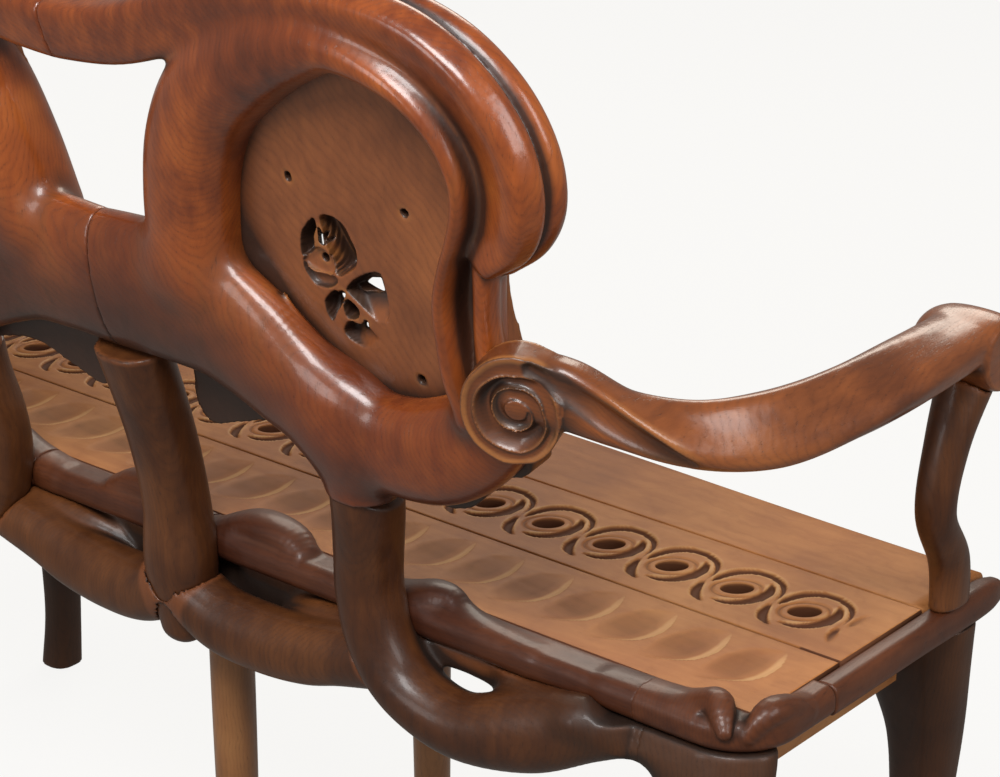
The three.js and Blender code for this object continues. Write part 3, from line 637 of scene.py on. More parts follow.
block = Block((186, -16, 318), (520, 112, 560), 2.0)
web = block.limb([
    (252, 22, 397, 13, 4), (296, 19, 396, 12, 4), (326, 20, 395, 14, 5), (352, 26, 391, 18, 9),
    (392, 28, 388, 20, 14),
], (0, 0, 1), 2.2)
knuckle = block.limb([(404, 40, 396, 10, 10), (424, 44, 398, 12, 13), (440, 40, 396, 10, 10)], (0, 0, 1), 2)
arch = soft_union(soft_union(arch_and_leg(block), web, 10), knuckle, 10)
arch = soft_cut(arch, rail_wood(block) - 0.4, 1)
ends = np.maximum(up_the_back(block) - 119.6, block.x - 476.5)
carved_piece("arch_carved", block, arch, ends, bench_place, upright_oak, ["arch"], corner_shade_and_tone)


def post_wood(block):
    """The middle post, from below the rail up to the knees"""
    return block.limb([
        (0, 99, 640, 36, 26), (0, 62, 526, 30, 26), (0, 48, 454, 30, 26), (0, 46, 400, 34, 27),
        (0, 46, 346, 21, 18),
    ], (1, 0, 0), 2.2)


block = Block((-44, -10, 318), (44, 150, 660), 2.6)
post = np.maximum(post_wood(block), up_the_back(block) - 186)
post = np.maximum(post, -(rail_wood(block) - 0.4))
points, quads = block.skin(post)
middle_piece(
    "post_centre_carved", points, quads, *block.shading(post, points), upright_oak, "oak_dark", "post_centre")

block = Block((-4, -10, 318), (236, 96, 430), 2.2)
small_arch = block.limb([
    (6, 46, 380, 26, 26), (46, 44, 362, 26, 29), (92, 42, 358, 25, 30), (140, 41, 362, 24, 29),
    (176, 41, 371, 23, 27), (232, 42, 383, 22, 24),
], (0, 1, 0), 2.15)
web = block.limb([
    (4, 10, 386, 26, 6), (90, 9, 384, 26, 6), (190, 10, 388, 22, 6), (236, 12, 394, 18, 6),
], (0, 0, 1), 2.2)
sill = block.limb([
    (96, 14, 376, 3, 3), (116, 19, 386, 6, 5), (136, 23, 392, 8, 8), (170, 26, 396, 9, 9),
    (240, 29, 399, 10, 9),
], (0, 0, 1), 2)
small_arch = soft_union(soft_union(small_arch, web, 8), sill, 10)
small_arch = np.maximum(small_arch, -(post_wood(block) - 0.4))
small_arch = np.maximum(small_arch, -(arch_wood(block) - 0.4))
small_arch = soft_cut(small_arch, rail_wood(block) - 0.4, 1)
carved_piece(
    "arch_centre_carved", block, small_arch, -block.z, bench_place, upright_oak, ["arch_centre"])


# Back frame: the ring round each shield, the double roll of the crest over it and the heavy knee below are
# carved as one flowing form, and meet their mirror image at the middle of the bench.
back_oak = varnished_oak(
    "dark_oak_back", (-lean, 0, 0), (-0.24, 0.42, 0), ("#431c0d", "#6b3013", "#8b4419", "#a45822"), "#b5702f",
    "#160a05")
block = Block((-6, 86, -30), (482, 566, 56), 2.06)
ring = block.limb([
    (377, 236, 6, 28, 13), (371, 266, 8, 28, 11), (369, 294, 8, 27, 9), (371, 326, 8, 27, 8.5),
    (382, 358, 8, 27, 8), (392, 379, 8, 27, 8), (401, 403, 8, 27, 8), (404, 423, 8, 27, 8),
    (400, 442, 8, 27, 8.5), (393, 457, 8, 27, 9.5), (383, 470, 8, 27.5, 11), (365, 485, 8, 28, 13),
    (336, 497, 8, 28, 16), (296, 504, 6, 30, 21), (248, 492, 4, 32, 29), (195, 467, 2, 34, 36),
    (152, 434, 0, 36, 40), (124, 390, 0, 36, 42), (108, 340, 0, 36, 43), (98, 285, 0, 36, 43),
], (0, 0, 1), 2.3)
crest = block.limb([
    (-40, 463, 11, 15, 25, 8), (60, 471, 11, 15, 25, 8), (120, 488, 11, 15, 25, 8),
    (180, 508, 11, 15, 25, 9), (240, 519, 11, 15, 25, 10), (300, 523, 11, 15, 24.5, 12),
    (342, 521, 11, 15, 24.5, 15), (376, 510, 10, 15, 26, 18), (409, 487, 10, 15, 27, 20),
    (430, 455, 9, 15, 28, 21), (436, 428, 9, 15, 27.5, 21), (434, 403, 9, 15, 24, 20),
    (425, 380, 9, 14, 19, 15), (411, 363, 10, 13, 12, 8),
], (0, 0, 1), 3.6)
strut = block.limb([
    (403, 372, 8, 12, 7.5), (399, 338, 9, 11, 7), (394, 305, 9, 11, 7.5), (391, 268, 8, 12, 10),
], (0, 0, 1), 2.6)
cove = block.limb([
    (393, 366, -6, 15, 12), (387, 336, -7, 15, 12), (382, 304, -7, 15, 12), (380, 262, -5, 16, 13),
], (0, 0, 1), 2)
lobe = block.limb([
    (-40, 459, -12, 13, 24), (60, 465, -12, 13, 24), (120, 483, -12, 13, 24), (180, 504, -12, 13, 24),
    (240, 517, -12, 13, 23.5), (300, 522, -12, 13, 23.5), (350, 519, -12, 13, 20.5),
    (394, 504, -12, 13, 18.5), (428, 473, -12, 13, 18), (443, 437, -12, 13, 18.5),
    (442, 402, -12, 13, 18.5), (427, 374, -12, 13, 17), (405, 352, -11, 13, 12),
], (0, 0, 1), 2.2)
knee = block.limb([
    (-40, 246, 12, 24, 60), (60, 250, 12, 24, 62), (108, 247, 12, 24, 62), (150, 229, 12, 25, 57),
    (188, 206, 12, 26, 50), (228, 186, 11, 26, 46), (275, 173, 9, 26, 42), (320, 177, 8, 26, 42),
    (358, 195, 6, 25, 38), (388, 218, 5, 22, 30), (406, 240, 4, 20, 22),
], (0, 0, 1), 2.3)
rim = block.limb([
    (184, 274, 2, 1.6, 1.6), (194, 263, 4.5, 2.4, 2.4), (211, 247, 5, 2.6, 2.6), (235, 231, 5, 2.6, 2.6),
    (258, 220, 5, 2.6, 2.6), (279, 213, 5, 2.6, 2.6), (301, 214, 5, 2.6, 2.6), (333, 225, 5, 2.4, 2.4),
    (356, 238, 5, 2, 2),
], (0, 0, 1), 2)
stem = block.limb([
    (226, 200, 6, 25, 40), (231, 160, 6, 27, 38), (237, 104, 4, 29, 31), (237, 60, 4, 29, 31),
], (0, 0, 1), 2.1)
wood = ring
for part, fillet in (
        (crest, 9), (lobe, 1), (strut, 1.5), (cove, 9), (soft_union(knee, stem, 20), 16), (rim, 1.5)):
    wood = soft_union(wood, part, fillet)
ends = np.maximum(118.2 - block.y, 0.15 - block.x)


def knee_polish(points):
    """The knee is darker than the ring above it, most of all towards the middle of the bench"""
    low = np.clip((330 - points[:, 1]) / 90, 0, 1)
    inward = np.clip((300 - points[:, 0]) / 170, 0.35, 1)
    return 0.36 * low * inward


carved_piece(
    "back_frame", block, wood, ends, stood_up, back_oak, ["back_ring", "back_crest", "knee"],
    knee_polish)


# Back boards: a shield of wide oak boards glued edge to edge, let into the ring. A four-petalled leaf is
# scooped into it with gouges and breaks through in places, and three small holes are bored beside it.
shield_oak = varnished_oak(
    "brown_oak_shield", (-lean, 0, 0), (-0.3, 0.9, 0), ("#4e2a17", "#6a3a1e", "#7c4625", "#8d522b"),
    "#95602f", "#160b06", gloss=0.36, ring_gap=4.5, pore_dark=0.35, shine=0.2)


def flat_distance(x, y, outline):
    """Distance from a closed outline, below zero inside it"""
    x, y = np.broadcast_arrays(x, y)
    best = np.full(x.shape, 1e9, np.float32)
    inside = np.zeros(x.shape, bool)
    for a, b in zip(outline, np.roll(outline, -1, axis=0)):
        ex, ey = b - a
        wx, wy = x - a[0], y - a[1]
        t = np.clip((wx * ex + wy * ey) / (ex * ex + ey * ey + 1e-9), 0, 1)
        best = np.minimum(best, (wx - t * ex) ** 2 + (wy - t * ey) ** 2)
        if ey != 0:
            inside ^= ((a[1] > y) != (b[1] > y)) & (x < a[0] + (y - a[1]) * ex / ey)
    return np.where(inside, -1, 1) * np.sqrt(best)


def closed_curve(pairs, steps=8):
    """A smooth closed outline through the given points"""
    p = np.array(pairs, float)
    before, after, next_after = np.roll(p, 1, 0), np.roll(p, -1, 0), np.roll(p, -2, 0)
    runs = []
    for t in np.linspace(0, 1, steps, endpoint=False):
        runs.append(0.5 * (
            2 * p + (after - before) * t + (2 * before - 5 * p + 4 * after - next_after) * t ** 2
            + (3 * p - before - 3 * after + next_after) * t ** 3))
    return np.stack(runs, axis=1).reshape(-1, 2)


shield = closed_curve([
    (64, 124), (100, 134), (150, 146), (240, 124), (303, 120), (333, 125), (352, 139), (372, 164),
    (397, 173), (407, 194), (395, 270), (389, 318), (406, 362), (418, 388), (424, 412), (423, 437),
    (414, 464), (401, 485), (374, 510), (327, 521), (260, 520), (200, 505), (150, 484), (112, 450),
    (92, 400), (84, 350), (70, 240), (52, 150),
])
leaf_room = ((198, 300), (238, 360), (-30, 4))
block = Block((40, 100, -30), (436, 530, 4), 3.2, leaf_room, 1.15)
slab = flat_distance(block.x[:, :, 0], block.y[:, :, 0], shield)[:, :, None]
slab = np.maximum(slab, np.abs(block.z + 13) - 12.8)


def scooped(slab, outline, deep, slope, wall):
    """Gouges a petal: its floor lies so deep, deeper by the slope across and up, and curves up at the rim"""
    plan = flat_distance(block.x[:, :, 0], block.y[:, :, 0], closed_curve(outline, 5))
    middle = np.mean(outline, axis=0)
    floor = deep + slope[0] * (block.x[:, :, 0] - middle[0]) + slope[1] * (block.y[:, :, 0] - middle[1])
    floor = np.maximum(floor, 0.6) * (1 - np.exp(-np.maximum(-plan, 0) * wall))
    tool = np.maximum(plan[:, :, None], (-floor)[:, :, None] - block.z)
    return soft_cut(slab, tool, 0.8)


# Each petal: its outline, how deep its floor lies, how the floor slopes and how steep its wall is
petals = (
    ([(227, 347), (214, 334), (209.5, 322), (210, 311), (223, 321), (225, 331), (230, 341)],
     15, (-0.3, 0.2), 0.9),
    ([(235, 350), (247, 353), (258, 348), (263, 338), (266.5, 327), (263, 314), (252, 306), (244, 302),
      (240, 306), (237, 322), (235, 337)],
     15, (-0.35, -0.28), 0.9),
    ([(222, 321), (233, 322), (240, 313), (239, 303), (228, 300), (213, 303), (209, 309)],
     4, (0, 0.1), 0.9),
    ([(209, 306), (210, 298), (216, 290), (224, 288), (233, 290), (241, 296), (240, 301), (228, 300),
      (216, 301)],
     5.5, (0, 0), 0.9),
    ([(249, 291), (255, 300), (266, 308), (276, 313), (287, 315), (289.5, 304), (289, 296), (276, 291),
      (262, 290)],
     19, (0.1, 0.2), 0.9),
    ([(250, 291), (262, 291), (276, 293), (289, 298), (289.5, 286), (287, 276), (282, 268), (270, 275),
      (258, 284)],
     9, (-0.1, 0.62), 1.4),
    ([(237, 289), (228, 282), (223.5, 275), (225, 265), (229, 261), (235, 270), (243, 280), (244, 285)],
     12, (-0.6, 0.4), 0.9),
    ([(249, 284), (258, 278), (256, 270), (247, 266.5), (243, 270), (243, 279)],
     17, (0, 0), 0.9),
    ([(239, 256.5), (246, 265), (256, 265), (262, 267), (270, 261), (275, 255), (268, 248), (255, 245.5),
      (241, 250)],
     8, (-0.45, 0.45), 0.9),
)
for outline, deep, slope, wall in petals:
    slab = scooped(slab, outline, deep, slope, wall)
# Bored holes, one of them a short slot: both ends of the drill's run, and its radius
for (left, low), (right, high), radius in (
        ((229.5, 313), (229.5, 313), 3.2), ((232, 338), (234, 328), 1.9), ((244.5, 288.5), (245, 288), 1.8),
        ((263.5, 268.5), (264, 268), 1.6), ((210, 377), (210, 377), 3.4), ((322, 372), (322, 372), 3.6),
        ((310.5, 232), (311, 232), 3.6)):
    run = np.array([right - left, high - low])
    x, y = block.x[:, :, 0] - left, block.y[:, :, 0] - low
    t = np.clip((x * run[0] + y * run[1]) / max(run @ run, 1e-6), 0, 1)
    bore = np.sqrt((x - t * run[0]) ** 2 + (y - t * run[1]) ** 2) - radius
    slab = soft_cut(slab, bore[:, :, None] + 0 * block.z, 1)
# Where the gouge came out on the front, the light shows through. Each cut slants across and upwards, by
# these shares of its depth
slant = (0.963, 0.823)
for outline in (
        [(270.8, 306.7), (276.7, 311.7), (286.7, 313.9), (288.9, 301.7), (279.5, 303.7)],
        [(231.3, 338.6), (234.9, 337), (234.6, 325.8), (230.4, 328.2)],
        [(240.8, 290), (247.5, 290), (246.7, 285), (243, 285.8)],
        [(261.7, 270), (265, 270), (266.3, 265), (262.5, 265.8)]):
    near = tuple(slice(*np.searchsorted(block.lines[k], leaf_room[k])) for k in range(2))
    x, y = block.x[near[0]] - slant[0] * block.z, block.y[:, near[1]] - slant[1] * block.z
    slab[near] = soft_cut(slab[near], flat_distance(x, y, np.array(outline)), 0.6)
recess = closed_curve([
    (352, 485), (382, 466), (397, 441), (398, 406), (378, 359), (366, 310), (360, 250), (333, 224),
    (301, 213), (258, 218), (211, 245), (170, 296), (148, 345), (165, 389), (203, 451), (250, 478),
    (300, 487),
], 4)


def edge_shade_and_grime(points):
    """Painted shade along the ring and knee where their walls shade the board's rear, with grime gathered
    towards the knee and the middle of the bench
    """
    inwards = -flat_distance(points[:, 0], points[:, 1], recess)
    edge = np.exp(-np.maximum(inwards, 0) / 16) * np.clip((700 - points[:, 0] - points[:, 1]) / 160, 0.12, 1)
    return 0.55 * edge * np.clip((points[:, 2] + 9) / 6, 0, 1)


carved_piece(
    "back_shield", block, slab, -60 - block.z, stood_up, shield_oak, ["back_board"], edge_shade_and_grime)


# Arms: each springs from a carved scroll at the back frame, sweeps down and forwards as a band with a
# hollowed rear face, flattens on top and ends in a roll over its support. One piece of oak each.
arm_oak = varnished_oak(
    "dark_oak_arm", (quarter_turn, 0, 0), (0.42, 0.6, 0.1),
    ("#43200f", "#633317", "#7c431f", "#935529"), "#b5773f", "#140905")
block = Block((376, -290, 606), (610, 160, 728), 2.2, ((378, 476), (88, 152), (622, 722)), 1.0)
disc_at = np.array([
    426,
    back_foot + 257 * math.sin(lean) + 36 * math.cos(lean),
    seat_top + 257 * math.cos(lean) - 36 * math.sin(lean),
])
face_way = unit(np.array([math.sin(math.radians(18)), math.cos(math.radians(18)), -math.sin(lean)]))
level_way = unit(np.cross(face_way, (0, 0, 1)))
rise_way = np.cross(level_way, face_way)
x, y, z = block.x - disc_at[0], block.y - disc_at[1], block.z - disc_at[2]
out = x * face_way[0] + y * face_way[1] + z * face_way[2]
u = x * level_way[0] + y * level_way[1] + z * level_way[2] - 6
v = x * rise_way[0] + y * rise_way[1] + z * rise_way[2] - 2.2
reach = np.sqrt(u * u + v * v)
turn = np.mod(np.degrees(np.arctan2(v, u)), 360)
# The ridge of the scroll winds inwards: how far it lies from the middle, at each eighth of a turn
ridge_turn = np.arange(0, 1126, 45)
ridge_reach = [
    47, 47, 42, 39, 41, 47, 46.5, 36, 31, 32.5, 27, 28, 32, 37, 35.5, 27, 20.5, 20, 18.3, 18.3, 18.3, 19,
    17.5, 15, 11, 8,
]
tracks = [np.interp(turn + 360 * k, ridge_turn, ridge_reach) for k in range(4)]
depth = np.zeros_like(reach)
for k in range(3):
    p = np.clip((reach - tracks[k + 1]) / np.maximum(tracks[k] - tracks[k + 1], 1), 0, 1)
    groove = np.interp(
        turn + 360 * k, [30, 100, 290, 360, 400, 720, 800, 1080], [2.0, 2.2, 2.6, 6.5, 8.0, 8.0, 7.0, 4.0])
    depth = np.maximum(depth, groove * np.sin(math.pi * p ** 0.7) ** 0.8)
depth = depth + 1.5 * np.clip(reach / 12, 0, 1) * (reach < tracks[3])
edge = np.interp(
    turn, [0, 30, 60, 90, 135, 180, 225, 255, 285, 315, 338, 360],
    [33, 37, 42, 43, 40, 42, 47.5, 48, 43.5, 37, 33.5, 33])
depth = depth + np.clip(3 - (edge - reach), 0, 3) ** 2 / 5
drum = np.maximum(np.maximum(reach - edge, out + depth), -26 - out)
band = block.limb([
    (428, 112, 693, 24, 14, 0), (456, 100, 687, 24.5, 15.5, -3), (490, 79, 671, 17, 20, -22),
    (523, 38, 655, 13, 24, -58), (549, -15, 649, 12, 28, -70), (564, -91, 651, 13, 27, -48),
    (571, -170, 657, 15, 28, -18), (572, -250, 662, 15, 29, 0),
], (0, 0, 1), 3.2, 30, 3)
gouge = block.limb([
    (446, 130, 710, 5, 7), (466, 119, 697, 9, 9), (488, 106, 681, 10, 9), (508, 90, 663, 9, 8),
    (530, 54, 637, 5, 5),
], (0, 0, 1), 2)
arm = soft_cut(soft_union(np.asarray(drum, np.float32), band, 5), gouge, 4)


def arm_roll(block):
    """The roll at the front end of the arm, over its support"""
    roll = block.limb([
        (552, -250, 648, 29, 29), (572, -250, 648, 30, 30), (592, -250, 648, 29, 29),
    ], (0, 0, 1), 2)
    return np.maximum(roll, block.x - 602)


arm = soft_union(arm, arm_roll(block), 6)


def scroll_polish(points):
    """Old polish lies in the scroll, which cloths don't reach"""
    flat = (points - disc_at) @ np.stack([level_way, rise_way], axis=1) - (6, 2.2)
    return 0.2 * np.clip((60 - np.linalg.norm(flat, axis=1)) / 16, 0, 1)


carved_piece(
    "arm_scrolled", block, arm, block.x - 602.5, bench_place, arm_oak, ["arm"], scroll_polish)

block = Block((546, -292, 424), (602, -190, 640), 2.0)
support = block.limb([
    (573, -250, 640, 24, 20), (571, -224, 580, 18, 16), (569, -216, 521, 16, 15),
    (567.6, -244, 470, 15, 18), (567, -250, 420, 11, 24),
], (1, 0, 0), 2.2)
support = np.maximum(support, -(arm_roll(block) - 0.4))
carved_piece(
    "arm_support_carved", block, support, seat_top + 0.35 - block.z, bench_place, upright_oak,
    ["arm_support"])


# Seat boards: three wide oak boards on the rails. The middle one is pierced by a running scroll of sixteen
# eyes with gouged hollows round each, the rear one has a row of scooped waves, and the front one has a nose.
# Its pale edge colour stands for wear and, on the carved crests, for a painted highlight. Its patina colour
# stands for old polish and for painted shade in the cuts
board_oak = varnished_oak(
    "golden_oak_board", (0, quarter_turn, 0), (0.43, 0.02, 0.16),
    ("#7a4724", "#905a31", "#9f683b", "#ad7748"), "#cfa674", "#45261a",
    gloss=0.5, ring_gap=4.0, pore_dark=0.25, shine=0.0, gleam=0.16)
board_thick = 26.0
# The long edges are rounded over: how far out from the top's edge, and how far down
edge_round = [
    (0.45, 0.12), (0.88, 0.5), (1.2, 1.2), (1.2, 13.0), (1.2, 24.8), (0.88, 25.6), (0.0, board_thick)]
# Both carved rows reach so far from the middle of the bench, with a plain length at each end
carved_half = 520.0
plain_end = 36.0


def tube_quads(rows, columns):
    """The faces of a tube of points, row after row, with each row closed to a ring"""
    i, j = np.meshgrid(np.arange(rows - 1), np.arange(columns), indexing="ij")
    k = (j + 1) % columns
    quads = [i * columns + j, (i + 1) * columns + j, (i + 1) * columns + k, i * columns + k]
    return np.stack(quads, -1).reshape(-1, 4)


def plain_mesh(name, points, faces, attributes):
    """Makes an object from millimetres, with any number of corners to a face"""
    mesh = bpy.data.meshes.new(name)
    mesh.from_pydata((np.asarray(points) * 0.001).tolist(), [], [[int(i) for i in face] for face in faces])
    mesh.shade_smooth()
    for key, values in attributes.items():
        mesh.attributes.new(key, "FLOAT", "POINT").data.foreach_set("value", np.asarray(values, np.float32))
    thing = bpy.data.objects.new(name, mesh)
    bpy.context.scene.collection.objects.link(thing)
    return thing


def face_outwards(mesh):
    """Welds points that lie together, and turns every face out of the wood"""
    form = bmesh.new()
    form.from_mesh(mesh)
    bmesh.ops.remove_doubles(form, verts=form.verts, dist=0.00001)
    bmesh.ops.recalc_face_normals(form, faces=form.faces)
    form.to_mesh(mesh)
    form.free()


def relief_shading(x, y, height):
    """How dark a point of a carved board is, with old polish and painted shade in its cuts, and how far it
    stands out of its surroundings
    """
    z = height(x, y)
    around = []
    for reach in (2.5, 6.0):
        for k in range(8):
            way = k * math.pi / 4
            around.append(height(x + reach * math.cos(way), y + reach * math.sin(way)) - z)
    mean = np.mean(around, axis=0)
    return np.clip(0.1 * mean - 0.17 * z, 0, 0.8), np.clip(-0.6 * mean, 0, 0.9)


def board_strip(name, xs, ys, height, shading, end=0):
    """A length of board, carved on top, with rounded long edges and, at end -1 or 1, a closed end"""
    x, y = np.meshgrid(xs, ys, indexing="ij")
    top = np.stack([x, y, height(x, y)], -1)
    rear = np.array([[(s, ys[-1] + out, -down) for out, down in edge_round] for s in xs])
    front = np.array([[(s, ys[0] - out, -down) for out, down in edge_round] for s in xs])[:, ::-1]
    under = np.array([[(s, y, -board_thick) for y in ys[-2:0:-1]] for s in xs])
    rows = np.concatenate([top, rear, under, front], axis=1)
    hollow, ridge = shading(rows[..., 0], rows[..., 1])
    # The joints between the boards are dark with old polish
    hollow[:, len(ys):len(ys) + 6] = 1
    hollow[:, -6:] = 1
    count = rows.shape[1]
    faces = [tuple(face[::-1]) for face in tube_quads(len(xs), count)]
    if end:
        ring = np.arange(count) + (len(xs) - 1 if end > 0 else 0) * count
        faces.append(tuple(ring if end > 0 else ring[::-1]))
    return plain_mesh(name, rows.reshape(-1, 3), faces, {"hollow": hollow.ravel(), "ridge": ridge.ravel()})


def board_row_tree(name):
    """Sets the carved unit along a board, and joins the two plain ends to it"""
    tree = bpy.data.node_groups.new(name, "GeometryNodeTree")
    face = tree.interface
    face.new_socket("Geometry", in_out="INPUT", socket_type="NodeSocketGeometry")
    for label, kind in (
            ("Units", "NodeSocketInt"), ("Unit length", "NodeSocketFloat"), ("First end", "NodeSocketObject"),
            ("Last end", "NodeSocketObject"), ("Wood", "NodeSocketMaterial")):
        face.new_socket(label, in_out="INPUT", socket_type=kind)
    face.new_socket("Geometry", in_out="OUTPUT", socket_type="NodeSocketGeometry")
    given = add(tree, "NodeGroupInput").outputs
    gaps = add(tree, "ShaderNodeMath", {0: given["Units"], 1: -1.0}, operation="ADD").outputs[0]
    start = add(tree, "ShaderNodeMath", {0: gaps, 1: given["Unit length"]}, operation="MULTIPLY").outputs[0]
    start = add(tree, "ShaderNodeMath", {0: start, 1: -0.5}, operation="MULTIPLY").outputs[0]
    start = add(tree, "ShaderNodeCombineXYZ", {"X": start}).outputs[0]
    step = add(tree, "ShaderNodeCombineXYZ", {"X": given["Unit length"]}).outputs[0]
    line = add(tree, "GeometryNodeMeshLine", {
        "Count": given["Units"], "Start Location": start, "Offset": step}).outputs[0]
    units = add(tree, "GeometryNodeInstanceOnPoints", {
        "Points": line, "Instance": given["Geometry"]}).outputs[0]
    units = add(tree, "GeometryNodeRealizeInstances", {"Geometry": units}).outputs[0]
    first = add(tree, "GeometryNodeObjectInfo", {"Object": given["First end"]}).outputs["Geometry"]
    last = add(tree, "GeometryNodeObjectInfo", {"Object": given["Last end"]}).outputs["Geometry"]
    whole = add(tree, "GeometryNodeJoinGeometry")
    for part in (units, first, last):
        tree.links.new(part, whole.inputs[0])
    whole = add(tree, "GeometryNodeMergeByDistance", {
        "Geometry": whole.outputs[0], "Distance": 0.00005}).outputs[0]
    whole = add(tree, "GeometryNodeRealizeInstances", {"Geometry": whole}).outputs[0]
    whole = add(tree, "GeometryNodeSetMaterial", {"Geometry": whole, "Material": given["Wood"]}).outputs[0]
    tree.links.new(whole, add(tree, "NodeGroupOutput").inputs[0])
    return tree


def board_row(name, tree, unit_thing, ends, units, unit_length, wood, node, place):
    """Evaluates the tree once, and keeps its result as a plain mesh in the board's place"""
    modifier = unit_thing.modifiers.new("row", "NODES")
    modifier.node_group = tree
    sockets = {item.name: item.identifier for item in tree.interface.items_tree if item.in_out == "INPUT"}
    for label, value in (("Units", units), ("Unit length", unit_length * 0.001), ("First end", ends[0]),
                         ("Last end", ends[1]), ("Wood", wood)):
        modifier[sockets[label]] = value
    bpy.context.view_layer.update()
    shown = unit_thing.evaluated_get(bpy.context.evaluated_depsgraph_get())
    mesh = bpy.data.meshes.new_from_object(shown)
    mesh.name = name
    mesh.transform(Matrix.Translation(Vector(place) * 0.001))
    face_outwards(mesh)
    mesh.shade_smooth()
    piece = bpy.data.objects.new(name, mesh)
    bpy.context.scene.collection.objects.link(piece)
    for thing in (unit_thing, *ends):
        bpy.data.objects.remove(thing)
    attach(piece, "root")
    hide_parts(node)


row_tree = board_row_tree("carved_board_row")

# Rear board: each wave is a scoop with a crisp edge on its outer side, that fades out towards the front
wave_length = carved_half / 10


def wave(x, y):
    """The height of the waves, how dark they are with old polish and painted shade on the scoop's inner side,
    and how pale their crests are with wear and a painted highlight
    """
    height = np.zeros(np.broadcast(x, y).shape)
    dark, rub_and_highlight = height.copy(), height.copy()
    for k in (-1, 0, 1):
        s, t = -(x - k * wave_length) - 6, -y
        crest = 28 + np.interp(
            t, [-32, -30, -26, -20, -13, 0, 10, 20, 30, 37, 44],
            [-40, -32, -24, -14, -6, -1, 0, -1, -4, -7, -11])
        back = 27 + np.interp(t, [-32, -28, -15, 0, 10, 30, 37, 44], [-44, -48, -49, -48, -47, -39, -29, -12])
        p = np.clip((s - back) / np.maximum(crest - back, 0.5), 0, 1)
        along = np.cos(np.clip((t - 5) / 39, -1, 1) * math.pi / 2)
        height = np.minimum(height, -13.5 * along * p ** 1.2 * (1 - p) ** 0.85)
        # Painted shade with a little old polish darkens the scoop's inner side, and a painted highlight with
        # some wear pales the crescent at its crest
        dirt_and_shade = np.interp(p, [0, 0.05, 0.16, 0.6, 0.76, 0.86, 1], [0, 0.14, 0.26, 0.28, 0.18, 0, 0])
        dark = np.maximum(dark, along ** 0.7 * dirt_and_shade)
        rub_and_highlight = np.maximum(rub_and_highlight, along ** 0.5 * np.interp(p, [0, 0.74, 0.86, 0.98, 1], [0, 0, 0.9, 1, 0]))
    return height, dark, rub_and_highlight


rear_ys = np.linspace(-53.3, 53.3, 56)
wave_ends = []
for side in (-1, 1):
    xs = side * (carved_half + np.linspace(0, plain_end, 20))
    xs = xs if side > 0 else xs[::-1]

    def fading(x, y):
        """The last wave, smoothed away along the plain end"""
        fade = np.clip(1 - (side * x - carved_half) / 30, 0, 1)
        fade = fade ** 2 * (3 - 2 * fade)
        return [value * fade for value in wave(side * wave_length / 2 + (x - side * carved_half), y)]

    wave_ends.append(board_strip(
        f"wave_end_{side}", xs, rear_ys, lambda x, y: fading(x, y)[0], lambda x, y: fading(x, y)[1:], side))
wave_unit = board_strip(
    "wave_unit", np.linspace(-wave_length / 2, wave_length / 2, 38), rear_ys, lambda x, y: wave(x, y)[0],
    lambda x, y: wave(x, y)[1:])
board_row(
    "seat_board_waves", row_tree, wave_unit, wave_ends, 20, wave_length, board_oak, "seat_board_rear",
    (0, -54.5 + rear_edge, seat_top))

# Middle board: round each bored eye a spiral of gouge cuts, which runs on into the next one
eye_length = carved_half / 8
# Each cut: its turn round the eye from the outer side towards the front, its reach, half width and depth
gouge_cuts = (
    ((-8, 10, 24, 49, 81, 102, 125, 145, 168, 184), (36, 35.5, 36.5, 38, 37, 35, 30.5, 26.5, 24, 23.5),
     (0.5, 1.2, 1.8, 2.8, 4.2, 5.2, 5.6, 5.0, 3.4, 0.6), 3.6),
    ((-104, -92, -77, -58, -31, -4, 24, 42, 58), (28, 26.7, 25.7, 23.8, 22.4, 22.6, 24.6, 27.5, 30),
     (0.6, 2.4, 4.2, 5.6, 6.3, 6.6, 6.0, 3.8, 0.6), 3.9),
    ((188, 199, 218, 234, 247, 258), (29, 30, 32.7, 35.2, 36.4, 37.5),
     (0.6, 2.8, 4.8, 4.8, 2.6, 0.6), 3.4),
)
# The eye is an oval that leans 45 degrees, towards the front and the outer side of the seat. Its middle lies
# eye_back behind the middle of the board, and its half widths are eye_long and eye_short
eye_back = 4.5
eye_long, eye_short = 14.0, 10.5
root_two = 1.4142


def scroll_height(x, y):
    """The height of the gouge cuts round the eyes, with a fine line that rings each eye"""
    height = np.zeros(np.broadcast(x, y).shape)
    for k in (-1, 0, 1):
        s, t = -(x - k * eye_length), eye_back - y
        reach = np.hypot(s, t)
        for turns, reaches, widths, deep in gouge_cuts:
            for extra in (0, 360):
                angle = np.degrees(np.arctan2(t, s)) + extra
                middle = np.interp(angle, turns, reaches)
                half = np.interp(angle, turns, widths) * ((angle >= turns[0]) & (angle <= turns[-1]))
                q = np.abs(reach - middle) / np.maximum(half, 0.3)
                cut = -deep * np.minimum(1, half / 3.0) * np.maximum(1 - q ** 2.6, 0) ** 0.7
                height = np.minimum(height, np.where((q < 1) & (half > 0), cut, 0))
        across = (s + t) / root_two, (t - s) / root_two
        eye = np.sqrt((across[0] / (eye_long + 0.5)) ** 2 + (across[1] / (eye_short + 0.5)) ** 2)
        height = np.minimum(height, -1.3 * np.exp(-((eye - 1.42) / 0.13) ** 2))
    return height


middle_ys = np.linspace(-56.8, 56.8, 49)
half_unit = eye_length / 2
scroll_ends = []
for side in (-1, 1):
    xs = side * (carved_half + np.linspace(0, plain_end, 24))
    xs = xs if side > 0 else xs[::-1]

    def fading(x, y):
        """The last gouge cuts, smoothed away along the plain end"""
        fade = np.clip(1 - (side * x - carved_half) / 14, 0, 1)
        return scroll_height(side * half_unit + (x - side * carved_half), y) * fade

    scroll_ends.append(board_strip(
        f"scroll_end_{side}", xs, middle_ys, fading, lambda x, y: relief_shading(x, y, fading), side))

